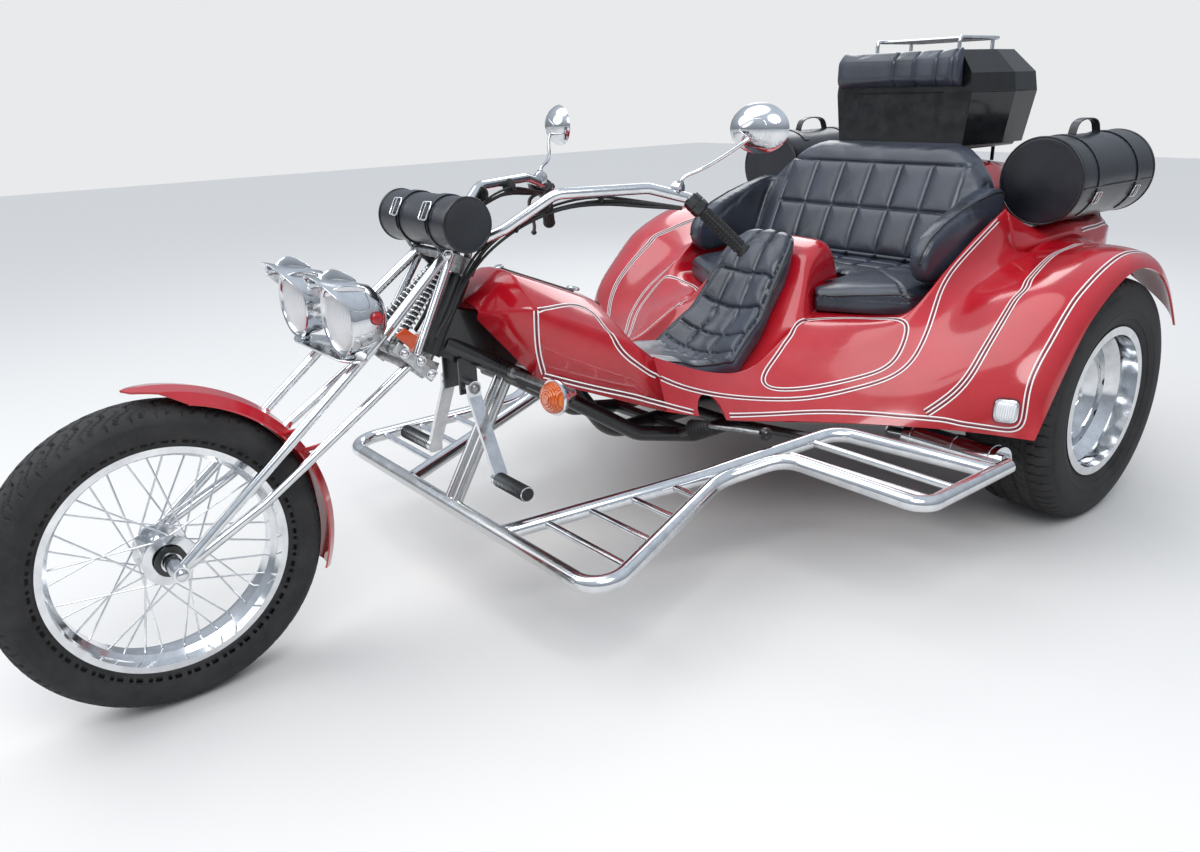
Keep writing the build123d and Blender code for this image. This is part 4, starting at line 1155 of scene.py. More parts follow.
def tool_bag():
    """The tool roll on the fork, held by two buckled straps."""
    barrel(
        "tool_roll_leather", tuple(ROLL_MIDDLE + Vector((0, -150, 0))), (0, 1, 0), 300, 58, "fork",
        "tool_roll",
    )
    for side in (1, -1):
        middle = ROLL_MIDDLE + Vector((0, side * 66, 0))
        ring_strap(f"tool_strap_{side}", tuple(middle), (0, 1, 0), 57.2, 26, "fork")
        angle = math.radians(28)
        out = Vector((math.cos(angle), 0, math.sin(angle)))
        up = Vector((-math.sin(angle), 0, math.cos(angle)))
        buckle(f"tool_buckle_{side}", tuple(middle + out * 62), up, out, 40, 33, "fork")
        tail_end = circle(middle, Vector((1, 0, 0)), Vector((0, 0, 1)), 61, (0.3, 0.0, -0.35))
        tail_end += [(1580, side * 66, 868), (1572, side * 66, 852)]
        strap(
            f"tool_strap_tail_{side}", eased(tail_end, rounds=2), lambda place: (1, 0, 0.1), 16, 2.6,
            BAG_LEATHER, "fork",
        )


BAG_SIDE = 512
BAG_HEIGHT = 894
BAG_RADIUS = 124
BAG_FRONT = -145
BAG_LENGTH = 455


def side_bag(side, node):
    """One barrel bag on the shelf: flap straps with buckles on its outer side, a handle on top."""
    tag = TAG[side]
    y = side * BAG_SIDE
    outward = Vector((0, side, 0))
    up = Vector((0, 0, 1))

    def round_bag(x, radius, degrees):
        """Places round the bag at angles over its outer side."""
        return circle(
            Vector((x, y, BAG_HEIGHT)), outward, up, radius, [math.radians(angle) for angle in degrees],
        )

    start = (BAG_FRONT, y, BAG_HEIGHT)
    barrel(f"side_bag_leather_{tag}", start, (-1, 0, 0), BAG_LENGTH, BAG_RADIUS, "chassis", node)
    for index, x in enumerate((-250, -495)):
        places = round_bag(x, BAG_RADIUS - 1.5, range(-56, 142, 9))
        strap(
            f"bag_strap_{tag}_{index}", places, lambda place: (0, place[1] - y, place[2] - BAG_HEIGHT),
            26, 3, BAG_LEATHER, "chassis",
        )
        low = math.radians(-22)
        out = outward * math.cos(low) + up * math.sin(low)
        along = up * math.cos(low) - outward * math.sin(low)
        buckle(
            f"bag_buckle_{tag}_{index}", round_bag(x, BAG_RADIUS + 3.5, [-22])[0], along, out, 36, 34,
            "chassis",
        )
    # the handle's places: along the bag and up
    grip = [(x, y, z) for x, z in (
        (-300, 1012), (-300, 1020), (-312, 1046), (-345, 1056), (-400, 1056), (-433, 1046), (-445, 1020),
        (-445, 1012),
    )]
    strap(
        f"bag_handle_{tag}", eased(grip, rounds=2),
        lambda place: (place[0] + 372, 0, max(place[2] - 990, 5)),
        24, 4, BAG_LEATHER, "chassis",
    )
    flap = [round_bag(x, BAG_RADIUS + 0.6, [-8])[0] for x in (-160, -585)]
    strand(f"bag_flap_edge_{tag}", flap, 2.4, PIPING, "chassis", straight=True)


tool_bag()
side_bag(1, "side_bags")
side_bag(-1, None)


# Fork: coil springs, link bolts, lamps and reflectors
SPRING_FOOT = (1709, 64, 662)
SPRING_TOP = (1534, 17, 818.5)
COIL_TURNS = 15
COIL_RADIUS = 12.5


def coil_spring(side):
    """A chrome coil on its black rod, with the nut at its lower end."""
    tag = TAG[side]
    low, high = on_side(side, SPRING_FOOT), on_side(side, SPRING_TOP)
    along, first, second = basis(high - low)
    length = (high - low).length
    rod_piece = lathe(
        f"spring_rod_{tag}", tuple(low), tuple(along),
        [
            (0, 12), (10, 13), (14, 13), (14, 15), (24, 15), (24, 8), (length - 26, 8), (length - 26, 14),
            (length - 16, 14), (length - 10, 10), (length, 9),
        ],
        FRAME_BLACK, "fork", 24,
    )
    start = low + along * 24
    steps = 8 * COIL_TURNS
    helix = []
    for step in range(steps + 1):
        spot = start + along * ((length - 50) * step / steps)
        helix += circle(spot, first, second, COIL_RADIUS, [2 * math.pi * step / 8])
    strand(f"spring_coil_{tag}", helix, 2.7, CHROME, "fork")
    for name, place, radius in (("low", low, 13), ("high", high, 11)):
        lathe(
            f"spring_eye_{name}_{tag}", (place.x, place.y - 8, place.z), (0, 1, 0),
            [(0, radius - 2), (1, radius), (15, radius), (16, radius - 2)], STEEL, "fork", 28,
        )
    return rod_piece


both_sides(coil_spring, "fork_springs")
BOLTS = [
    ("link_bolt_0", (1650, 119, 604), 8, 9, CHROME, "fork"),
    ("link_bolt_1", (1709, 119, 662), 8, 9, CHROME, "fork"),
    ("link_bolt_2", (1672, 119, 638), 8, 9, CHROME, "fork"),
    ("axle_nut", (2223, 119, 320), 11.5, 11, CHROME, "fork"),
    ("top_bolt", (1559, 72, 846), 9, 7, CHROME, "fork"),
    ("spring_bolt", (1534, 38, 818.5), 7, 5, STEEL, "fork"),
    ("hub_disc", (2223, 47, 320), 22, 4, FRAME_BLACK, "front_wheel"),
]
for side in (1, -1):
    for name, (x, y, z), radius, height, look, body in BOLTS:
        flat_bolt(f"{name}_{side}", (x, side * y, z), (0, side, 0), radius, height, look, body)
    outline = [
        (1729, side * 119, 704), (1706, side * 119, 718), (1678, side * 119, 694), (1694, side * 119, 669),
    ]
    outer = [(x, y + side * 7, z) for x, y, z in outline]
    plate = solid([outline, outer])
    bmesh.ops.bevel(
        plate, geom=plate.edges[:], offset=0.0015, segments=2, profile=0.5, affect="EDGES", material=-1,
    )
    made(f"fork_reflector_{side}", plate, ORANGE_LENS, "fork")


# Headlamps: buckets, ridged visors and glass
LAMP_SIDE = 114
LAMP_HEIGHT = 757


def ridged(start, end, pitch, low, high):
    """The profile of a ribbed sleeve."""
    profile = [(start, 0), (start, high)]
    count = max(1, round((end - start) / pitch))
    step = (end - start) / count
    for index in range(count):
        base = start + index * step
        profile += [
            (base + step * 0.55, high), (base + step * 0.65, low), (base + step * 0.9, low),
            (base + step, high),
        ]
    return profile + [(end, 0)]


def head_lamp(side):
    tag = TAG[side]
    y = side * LAMP_SIDE
    bucket = [
        (0, 0), (0, 20), (2, 27), (10, 46), (26, 62), (54, 70.5), (82, 72.5), (84, 76), (96, 76.5),
        (99, 74), (97, 69), (90, 66), (82, 58), (60, 30), (56, 0),
    ]
    shell = lathe(f"lamp_bucket_{tag}", (1750, y, LAMP_HEIGHT), (1, 0, 0), bucket, CHROME, "fork", 72, 30)
    lens = [(0, 0), (0, 66)] + dome(66, 13, 8, 3)
    lathe(f"lamp_glass_{tag}", (1838, y, LAMP_HEIGHT), (1, 0, 0), lens, LAMP_GLASS, "fork", 64)
    # rows of the visor: place, reach to each side of the top in degrees, radius
    visor = [(1800, 70, 73), (1838, 76, 79), (1868, 54, 86), (1888, 28, 92), (1899, 10, 95)]
    shape = bmesh.new()
    rows = []
    for x, reach, radius in visor:
        turns = [math.radians(reach * k / 5) for k in range(-5, 6)]
        rows.append([(x, y + radius * math.sin(a), LAMP_HEIGHT + radius * math.cos(a)) for a in turns])
    across_rows(shape, rows)
    peak = made(f"lamp_visor_{tag}", shape, CHROME, "fork", 60)
    walled(peak, 0.003, 0)
    rounded(peak, 2)
    # three ribs rise off each visor, the middle one highest
    for index, (turn, rise) in enumerate(((-34, 0.5), (0, 1.0), (34, 0.5))):
        angle = math.radians(turn)
        up = Vector((0, math.sin(angle), math.cos(angle)))
        side_way = Vector((0, math.cos(angle), -math.sin(angle)))
        middle = Vector((0, y, LAMP_HEIGHT))
        spine = []
        for x, lift in ((1796, -6), (1812, 8), (1832, 21), (1846, 26), (1858, 22), (1872, 12), (1884, 2)):
            top = 79 + lift * rise
            foot = 70
            half = [(foot, 5), ((foot + top) / 2, 4.5), (top, 1.2)]
            ring = half + [(height, -wide) for height, wide in half[::-1]]
            centre = middle + Vector((x, 0, 0))
            spine.append([tuple(centre + up * height + side_way * wide) for height, wide in ring])
        rounded(made(f"lamp_rib_{tag}_{index}", solid(spine), CHROME, "fork", 60), 2)
    lathe(
        f"lamp_marker_{tag}", (1794, y + side * 69, LAMP_HEIGHT + 6), (0, side, 0.1),
        [(0, 13), (2, 14)] + dome(13, 5, 4, 2), RED_LENS, "fork", 24,
    )
    lathe(
        f"lamp_stalk_{tag}", (1828, y, 673), (0, 0, 1), [(0, 12), (3, 13), (8, 9), (24, 9)], CHROME, "fork",
        24,
    )
    lathe(
        f"lamp_nut_{tag}", (1828, y, 664), (0, 0, 1), [(0, 7), (1, 8), (7, 8), (7, 11), (9, 11)], STEEL,
        "fork", 6, 20,
    )
    return shell


def lamp_bracket():
    half = [(1786, 105), (1800, 132), (1812, 152), (1826, 157), (1840, 152), (1850, 132), (1856, 110)]
    outline = [(1786, -105)] + half + [(x, -y) for x, y in half[:0:-1]]
    shape = solid([[(x, y, z) for x, y in outline] for z in (671, 676)])
    plate = made("lamp_bracket", shape, CHROME, "fork")
    soft_edges(plate, 0.0015)
    for side in (1, -1):
        lathe(
            f"lamp_clamp_{side}", (1804, side * 84, 665), (0, side, 0),
            [(0, 9), (1, 11), (31, 11), (32, 9)], CHROME, "fork", 28,
        )
    return plate


both_sides(head_lamp, "headlamps")
lamp_bracket()


# Fork links: flat light alloy bars on a cross shaft
def fork_link(side):
    """One link: a flat bar with square-cut ends."""
    corners = [(1632, 603), (1650, 585), (1736, 671), (1718, 689)]
    shape = solid([[(x, side * y, z) for x, z in corners] for y in (112, 118)])
    plate = made(f"fork_link_{side}", shape, LIGHT_ALLOY, "fork")
    soft_edges(plate, 0.0025, 3)
    return plate


both_sides(fork_link, "fork_links")
lathe(
    "link_shaft", (1709, -112, 662), (0, 1, 0),
    [(0, 9), (4, 9), (4, 13), (90, 13), (90, 9), (134, 9), (134, 13), (220, 13), (220, 9), (224, 9)], STEEL,
    "fork", 28,
)


# Tyres: a spun carcass with the tread's grooves pressed in
FRONT_AXLE = (2223, 0, 320)


def stepped(points, gap):
    """The profile with long stretches divided, so that a pattern can be pressed in."""
    out = [points[0]]
    for here, there in zip(points, points[1:]):
        count = max(1, math.ceil(math.dist(here, there) / gap))
        run, rise = there[0] - here[0], there[1] - here[1]
        out += [(here[0] + run * k / count, here[1] + rise * k / count) for k in range(1, count + 1)]
    return out


# The carcass's thickness, and the gap between the points over the tread, in millimetres
CARCASS = 14
FACE_GAP = 4.0


def tyre(name, centre, half, body, pitches, steps, groove, *replaced):
    """A tyre from its outer half profile, with the groove's depth at each place of one pitch."""
    crown, wall = half
    face = stepped([(-y, r) for y, r in crown[::-1]] + crown, FACE_GAP)
    outer = [(-y, r) for y, r in wall[::-1]] + face + wall
    inner = [(y * 0.86, r - CARCASS) for y, r in wall[:-2]]
    bead_y, bead_r = wall[-1]
    lining = [(bead_y - 7, bead_r)] + inner[::-1]
    loop = outer + lining + [(-y, r) for y, r in lining[::-1]]
    edge_y, edge_r = crown[-1]
    middle = at(*centre)
    turn = 2 * math.pi / pitches
    shape = bmesh.new()
    ring = [shape.verts.new(at(centre[0], centre[1] + y, centre[2] + r)) for y, r in loop]
    edges = [shape.edges.new(pair) for pair in zip(ring, ring[1:] + ring[:1])]
    bmesh.ops.spin(shape, geom=ring + edges, cent=middle, axis=(0, 1, 0), angle=turn, steps=steps)
    for vert in shape.verts:
        arm = vert.co - middle
        y = arm.y * 1000
        arm.y = 0
        if abs(y) <= edge_y + 0.01 and arm.length * 1000 >= edge_r - 0.01:
            vert.co -= arm.normalized() * groove(math.atan2(arm.x, arm.z) / turn, y) / 1000
    whole = shape.verts[:] + shape.edges[:] + shape.faces[:]
    bmesh.ops.spin(
        shape, geom=whole, cent=middle, axis=(0, 1, 0), angle=turn * (pitches - 1), steps=pitches - 1,
        use_duplicate=True,
    )
    bmesh.ops.remove_doubles(shape, verts=shape.verts, dist=0.00002)
    return show_as(made(name, shape, TYRE, body, 32), *replaced)


FRONT_RADIUS = 320
REAR_RADIUS = 337.5
REAR_TRACK_HALF = 735
FRONT_PITCHES = 42
REAR_PITCHES = 68
FRONT_PITCH = 2 * math.pi * FRONT_RADIUS / FRONT_PITCHES
REAR_PITCH = 2 * math.pi * REAR_RADIUS / REAR_PITCHES


def within(place, pitch, width):
    """Whether a place lies in a groove that comes back at each pitch."""
    near = place % pitch
    return min(near, pitch - near) < width / 2


def front_tread(share, y):
    """Grooves that sweep out from the middle like bent lightning, with short ones between."""
    reach = abs(y)
    path = share * FRONT_PITCH - 0.85 * reach - 8 * math.sin(reach * 0.17)
    path += FRONT_PITCH / 2 if y < 0 else 0
    if reach < 54 and within(path, FRONT_PITCH, 6.5):
        return 5.0
    if 16 < reach < 57 and within(path + FRONT_PITCH / 2 + 3, FRONT_PITCH, 4.2):
        return 3.5
    return 0.0


def rear_tread(share, y):
    """Four grooves round the tyre, with slanted cuts in the ribs between and blocks at the shoulders."""
    reach = abs(y)
    if abs(reach - 25) < 4.5 or abs(reach - 63) < 4.5:
        return 6.5
    along = share * REAR_PITCH
    if reach > 67:
        return 5.5 if within(along - 0.2 * y, REAR_PITCH, 4.4) else 0.0
    if reach > 29:
        return 4.5 if within(along - 0.9 * y, REAR_PITCH, 3.6) else 0.0
    return 3.5 if within(along + 9 * math.sin(y * 0.2), REAR_PITCH, 3.0) and reach > 6 else 0.0


FRONT_HALF = (
    [(0, 320), (12, 319.7), (24, 318.2), (34, 315.6), (44, 311.4), (52, 306), (58, 299)],
    [
        (60.5, 293.5), (62, 291), (62.6, 288), (62.2, 286), (64, 276), (62.8, 264), (59, 255.5),
        (58, 255.5), (54, 250), (48, 247.3), (43.2, 246), (42.2, 238), (42, 229),
    ],
)
REAR_HALF = (
    [(0, 337.5), (30, 337.3), (60, 336.6), (84, 334.6), (98, 331.5), (107, 327), (113, 320)],
    [
        (117, 311), (119.5, 301), (121, 299.5), (123.4, 291), (124.6, 278), (125, 264), (124.2, 254),
        (122.8, 252.5), (122.4, 250.5), (123, 249), (120.5, 238), (117.4, 230), (115.4, 229.4), (112, 218),
        (107, 211.5), (104.2, 209.5), (104, 200), (104, 191),
    ],
)
tyre(
    "front_tyre_dressed", FRONT_AXLE, FRONT_HALF, "front_wheel", FRONT_PITCHES, 14, front_tread,
    "front_tyre",
)
for side, side_name in TAG.items():
    hub = (0, side * REAR_TRACK_HALF, REAR_RADIUS)
    tyre(
        f"rear_tyre_dressed_{side_name}", hub, REAR_HALF, f"rear_wheel_{side_name}", REAR_PITCHES, 8,
        rear_tread, f"rear_tyre_{side_name}",
    )


# Lamps on the body and frame
def front_indicator(side):
    tag = TAG[side]
    y = side * 300
    way = (1, 0, 0.02)
    shell = lathe(
        f"indicator_shell_{tag}", (1400, y, 548), way,
        [(0, 0), (0, 10), (4, 14), (14, 17), (34, 32), (48, 39.5), (54, 41), (57, 40), (57, 36), (50, 0)],
        CHROME, "chassis", 48,
    )
    lens = [(0, 0), (0, 36)]
    for k in range(7):
        base = 36 * math.cos(math.pi / 2 * k / 7.6)
        ridge, groove = (22 * math.sin(math.pi / 2 * step / 7.6) for step in (k, k + 0.55))
        lens += [(2 + ridge, base), (3.4 + groove, base - 1.2)]
    lens.append((24.5, 0))
    lathe(f"indicator_lens_{tag}", (1455, y, 549), way, lens, ORANGE_LENS, "chassis", 48)
    strand(
        f"indicator_arm_{tag}", [(1416, side * 84, 553), (1416, side * 292, 549)], 9, STEEL, "chassis",
        straight=True,
    )
    lathe(
        f"indicator_boss_{tag}", (1416, side * 72, 553.5), (0, side, 0),
        [(0, 12), (1, 14), (20, 14), (22, 10)], STEEL, "chassis", 24,
    )
    lathe(
        f"indicator_collar_{tag}", (1416, side * 268, 549.4), (0, side, 0),
        [(0, 9), (1, 11.5), (16, 11.5), (17, 9)], CHROME, "chassis", 24,
    )
    return shell


both_sides(front_indicator, "front_indicators")


# How square the side lamps are: 2 would be round
SQUARENESS = 4.2


def square_piece(name, place, direction, levels, look):
    """A rounded square over a place. Each level gives a height and the half width there."""
    along, first, second = basis(direction)
    rows = []
    for height, half in levels:
        row = []
        for step in range(40):
            turn = math.radians(9 * step + 4.5)
            corner = abs(math.cos(turn)) ** SQUARENESS + abs(math.sin(turn)) ** SQUARENESS
            bulge = corner ** (-1 / SQUARENESS)
            row += circle(Vector(place) + along * height, first, second, half * bulge, [turn])
        rows.append(row)
    return made(name, solid(rows), look, "chassis", 40)


def side_lamp(side):
    tag = TAG[side]
    place, out = (461.8, side * 806, 411), (0.9, side * 0.41, 0.13)
    square_piece(f"side_lamp_gasket_{tag}", place, out, [(-9, 30), (3, 30.5), (5, 29)], RUBBER)
    rim = square_piece(
        f"side_lamp_rim_{tag}", place, out, [(0, 29), (8, 29), (12, 28), (14, 25), (14, 22)], CHROME,
    )
    square_piece(
        f"side_lamp_lens_{tag}", place, out,
        [(10, 25), (16, 24.5), (20, 22.5), (22.5, 18), (23.6, 10), (24, 2)], LAMP_GLASS,
    )
    return rim


both_sides(side_lamp, "side_lamps")


def tail_lamp(side):
    tag = TAG[side]
    place = (-559, side * 400, 580)
    ring = lathe(
        f"tail_ring_{tag}", place, (-1, 0, 0), [(0, 0), (0, 42), (9, 42), (12, 40), (12, 36), (4, 0)],
        CHROME, "chassis", 48,
    )
    lathe(
        f"tail_lens_{tag}", place, (-1, 0, 0), [(6, 0), (6, 37), (13, 37)] + dome(36, 11, 6, 14), RED_LENS,
        "chassis", 48,
    )
    return ring


both_sides(tail_lamp, "tail_lamps")


# Controls: grips, pedals, gear lever, mirrors and cables
GRIP_TOP = (1035, 287, 935)
GRIP_FOOT = (955, 385, 815)
# The way from the left grip to the lever's side
GRIP_FRONT = (0.887, 0.292, -0.357)


def grip(side):
    tag = TAG[side]
    top, foot = on_side(side, GRIP_TOP), on_side(side, GRIP_FOOT)
    length = (foot - top).length
    along, first, second = basis(foot - top)
    ways = [length * 0.25]
    for groove in range(13):
        begin = length * 0.275 + groove * 8.8
        ways += [begin, begin + 0.8, begin + 7.2, begin + 8.0]
    low, high = 14.6, 17.0
    turns = full_turn(72)
    rows = []
    for index, way in enumerate(ways):
        tall, flat = (circle(top + along * way, first, second, radius, turns) for radius in (high, low))
        raised = index % 4 in (2, 3)
        rows.append([tall[k] if raised and k % 6 in (1, 2, 3, 4) else flat[k] for k in range(72)])
    for way, radius in (
        (length * 0.97, 14.6), (length * 0.972, 17.6), (length * 1.0, 18.0), (length * 1.02, 16.5),
        (length * 1.03, 8),
    ):
        rows.append(circle(top + along * way, first, second, radius, turns))
    rubber = made(f"grip_{tag}", solid(rows), RUBBER, "fork", 28)
    housing = [
        (-2, 13), (-1, 19), (2, 22), (length * 0.11, 23), (length * 0.12, 21.5), (length * 0.13, 23),
        (length * 0.2, 23), (length * 0.235, 20), (length * 0.25, 15),
    ]
    lathe(f"switch_housing_{tag}", tuple(top), tuple(foot - top), housing, FRAME_BLACK, "fork", 12, 22)
    along = (foot - top).normalized()
    out = on_side(side, GRIP_FRONT)
    block_at = top + along * length * 0.12
    lathe(
        f"switch_button_{tag}", tuple(block_at - out * 18), tuple(-out), [(0, 8), (8, 8), (10, 6), (10, 0)],
        RUBBER, "fork", 16,
    )
    lathe(
        f"switch_knob_{tag}", tuple(block_at + along * 14 - out * 17), tuple(-out),
        [(0, 5), (7, 5), (8, 4), (8, 0)], STEEL, "fork", 16,
    )
    return rubber


def brake_side():
    """Master cylinder and lever at the right grip."""
    top, foot, reach = (on_side(-1, place) for place in (GRIP_TOP, GRIP_FOOT, GRIP_FRONT))
    places = []
    for share, off in ((0.13, 14), (0.13, 52), (0.45, 56), (0.85, 46), (1.05, 52)):
        places.append(tuple(top + (foot - top) * share + reach * off))
    strand("brake_lever", eased(places, rounds=2), 5.4, FRAME_BLACK, "fork")
    tip = Vector(places[-1])
    way = tip - Vector(places[-2])
    ball = [(0, 3), (1, 7), (5, 8.5), (9, 7), (11, 2)]
    lathe("brake_lever_ball", tuple(tip - way.normalized() * 4), tuple(way), ball, FRAME_BLACK, "fork", 20)
    base = top + (foot - top) * 0.08 + reach * 30
    up = Vector((14, 6, 44))
    lathe(
        "brake_cylinder", tuple(base), tuple(up),
        [(0, 12), (2, 16), (34, 17), (35, 18.5), (43, 18.5), (45, 16), (45, 0)], FRAME_BLACK, "fork", 32,
    )


both_sides(grip, "grips")
brake_side()


MIRROR_MIDDLE = (920, 383, 1085)
# The mirror's shell: station, half width and half height, from its front round the rim to the glass
MIRROR_SHELL = [
    (936, 10, 8), (933, 26, 19), (926, 46, 34), (916, 62, 46), (904, 72, 54), (898, 74, 56), (896, 73, 55),
    (897, 68, 50), (900, 66, 48),
]


def mirror_head(side):
    """An oval chrome mirror on its bent stem, the glass set in its rim."""
    tag = TAG[side]

    def turned(x, across, z):
        """A place of the head, turned 15 degrees towards the rider and set 8 mm forward."""
        angle = math.radians(15)
        ahead = x - 912
        return (
            MIRROR_MIDDLE[0] + ahead * math.cos(angle) - across * math.sin(angle),
            side * (MIRROR_MIDDLE[1] + across * math.cos(angle) + ahead * math.sin(angle)),
            MIRROR_MIDDLE[2] + z,
        )

    rows = []
    for x, wide, high in MIRROR_SHELL:
        rows.append([turned(x, wide * math.cos(a), high * math.sin(a)) for a in full_turn(56)])
    shape = solid(rows)
    head = made(f"mirror_shell_{tag}", shape, CHROME, "fork", 40)
    oval = []
    for x, share in ((901, 1.0), (898.5, 0.995), (898, 0.97)):
        wide, high = 66.5 * share, 48.5 * share
        oval.append([turned(x, wide * math.cos(a), high * math.sin(a)) for a in full_turn(56)])
    made(f"mirror_glass_{tag}", solid(oval), MIRROR, "fork", 40)
    stem = [
        (1058, side * 276, 955.5), (1052, side * 278, 985), (1003, side * 300, 1000),
        (956, side * 372, 1052), (924, side * 382, 1078),
    ]
    strand(f"mirror_stem_{tag}", eased(stem, rounds=2), 4.6, CHROME, "fork")
    lathe(
        f"mirror_clamp_{tag}", (1062, side * 262, 958), (-0.3, side * 0.9, -0.1),
        [(0, 14), (1, 17), (20, 17), (21, 14)], CHROME, "fork", 28,
    )
    lathe(
        f"mirror_nut_{tag}", (1056, side * 277, 966), (-0.1, side * 0.05, 1), [(0, 8), (9, 8), (10, 6)],
        STEEL, "fork", 6, 20,
    )
    # a raised loop in the chrome of the shell's front
    loop = []
    for a in full_turn(40):
        y, z = 34 * math.cos(a), 20 * math.sin(a) + 5 * math.sin(2 * a)
        share = math.sqrt((y / 74) ** 2 + (z / 56) ** 2)
        loop.append(turned(936 - 40 * share ** 2.2 + 0.6, y, z))
    strand(f"mirror_relief_{tag}", loop, 1.6, CHROME, "fork", closed=True)
    return head


both_sides(mirror_head, "mirrors")


# Each cable: sideways and upward shift from the middle of the bundle, radius
BUNDLE = [(0, 0, 4.6), (7, -5, 3.4), (-4, 7, 3.2)]
CABLE_RUN = [
    (1052, 278, 914), (1125, 224, 927), (1215, 184, 941), (1302, 142, 932), (1386, 112, 902),
    (1454, 84, 862), (1494, 62, 814), (1526, 50, 758), (1560, 48, 696), (1592, 49, 662),
]


def cable_bundle(side):
    tag = TAG[side]
    first = None
    for index, (aside, lift, radius) in enumerate(BUNDLE):
        places = []
        for step, (x, y, z) in enumerate(CABLE_RUN):
            sway = 3 * math.sin(step * 1.7 + index * 2)
            fade = 0.4 if step in (0, len(CABLE_RUN) - 1) else 1.0
            places.append((x + sway * 0.5, side * (y + aside * fade), z + (lift + sway) * fade))
        piece = strand(f"bar_cable_{tag}_{index}", places, radius, RUBBER, "fork")
        first = first or piece
    for index, (x, y, z, radius) in enumerate((
        (1215, 190, 951, 24), (1330, 142, 941, 26), (1396, 112, 898, 24),
    )):
        turn = (0.8, -side * 0.35, 0.25)
        lathe(
            f"cable_tie_{tag}_{index}", (x, side * y, z), turn,
            [(0, radius - 7), (0, radius - 5.4), (4.5, radius - 5.4), (4.5, radius - 7)], RUBBER, "fork",
            28,
        )
    return first


both_sides(cable_bundle, "bar_cables")


PEDAL = ((1519, 158, 329.5), (1528, 285, 335))


def pedal_peg(side):
    """The ribbed rubber on a foot pedal."""
    tag = TAG[side]
    start, end = (on_side(side, place) for place in PEDAL)
    length = (end - start).length
    sleeve = ridged(2, length - 4, 6.5, 15.5, 18.0) + [(length + 2, 14), (length + 3, 0)]
    sleeve[-3] = (length - 4, 18.0)
    lathe(f"pedal_rubber_{tag}", tuple(start), tuple(end - start), sleeve, RUBBER, "chassis", 36, 30)
    flat_bolt(f"pedal_bolt_{tag}", (1513, side * 66, 530), (0, side, 0), 10, 8, STEEL, "chassis")


pedal_peg(1)
pedal_peg(-1)


def gear_stick():
    """The gear lever: ribbed boot, steel rod and black ball."""
    start, end = Vector((954, 215, 328)), Vector((948, 272, 352))
    length = (end - start).length
    profile = []
    for k in range(7):
        radius = 26 - 14 * k / 7
        profile += [(length * k / 7, radius - 3), (length * (k + 0.5) / 7, radius + 1)]
    boot = lathe(
        "gear_boot", tuple(start), tuple(end - start), [(0, 0)] + profile + [(length, 10), (length, 0)],
        RUBBER, "chassis", 36, 30,
    )
    strand(
        "gear_rod", [(948, 268, 350), (920, 338, 352), (894, 404, 352)], 6.2, STEEL, "chassis",
        straight=True,
    )
    ball = [(17 - 17 * math.cos(math.pi * k / 14), 17 * math.sin(math.pi * k / 14)) for k in range(15)]
    lathe("gear_ball", (896.5, 396.4, 352), (-0.38, 0.925, 0), ball, BOX_BLACK, "chassis", 36)
    return show_as(boot, "gear_lever")


gear_stick()


SILENCER = ((398, 508, 251), (440, 800, 268))


def exhaust_trim():
    """Bands on the silencers and their round outlets."""
    for side in (1, -1):
        start, end = (on_side(side, place) for place in SILENCER)
        along = (end - start).normalized()
        length = (end - start).length
        for index, share in enumerate((0.06, 0.52, 0.9)):
            lathe(
                f"silencer_band_{side}_{index}", tuple(start + along * length * share), tuple(along),
                [(0, 37.5), (1, 40), (11, 40), (12, 37.5)], CHROME, "chassis", 48,
            )
        lathe(
            f"silencer_outlet_{side}", tuple(end - along * 2), tuple(along),
            [(0, 24), (14, 24), (15, 22.5), (15, 19), (2, 19)], CHROME, "chassis", 36,
        )


exhaust_trim()


def lid_seal():
    """The rubber strip along the lid's lower edge."""
    half = [(-178.5, 0), (-178.5, 250.5), (-360, 291.5), (-490.5, 291.5), (-611.5, 206), (-611.5, 0)]
    shape_left = [(x, y, 1140.5) for x, y in half]
    loop = shape_left[:-1] + [(x, -y, z) for x, y, z in shape_left[::-1]][:-1]
    return strand("lid_seal", loop, 2.2, RUBBER, "top_box_lid", closed=True)


lid_seal()


# Seams: piping and stitches laid on the padding
SEATS = {
    name: BVHTree.FromObject(bpy.data.objects[name], bpy.context.evaluated_depsgraph_get())
    for name in ("rider_cushion", "bench_cushion", "bench_backrest", "box_backrest")
}


def on_padding(name, spot, direction):
    """The place where a line through a spot, along a direction, first meets the padding."""
    way = Vector(direction).normalized()
    hit = SEATS[name].ray_cast(at(*spot) + way * 0.12, -way, 0.3)
    return (hit[0], hit[1]) if hit[0] is not None else SEATS[name].find_nearest(at(*spot))[:2]


STITCH_LENGTH = 5.0


def stitches(name, piece, guide, direction, body="chassis", gap=9.0):
    """A row of thread stitches along a guide, sunk halfway into the leather."""
    line = new_line(name, 0.6, 0)
    for spot in evenly(guide, gap)[:-1]:
        start, normal = on_padding(piece, spot, direction)
        ahead = min(range(len(guide)), key=lambda index: (Vector(guide[index]) - spot).length)
        towards = Vector(guide[min(ahead + 1, len(guide) - 1)]) - Vector(guide[max(ahead - 1, 0)])
        towards = (towards - normal * towards.dot(normal)).normalized()
        spline = line.splines.new("POLY")
        spline.points.add(2)
        for point, share, lift in zip(spline.points, (0, 0.5, 1), (-0.0004, 0.0005, -0.0004)):
            point.co = (*(start + towards * STITCH_LENGTH / 1000 * share + normal * lift), 1)
    line.materials.append(THREAD)
    riding(bpy.data.objects.new(name, line), body)


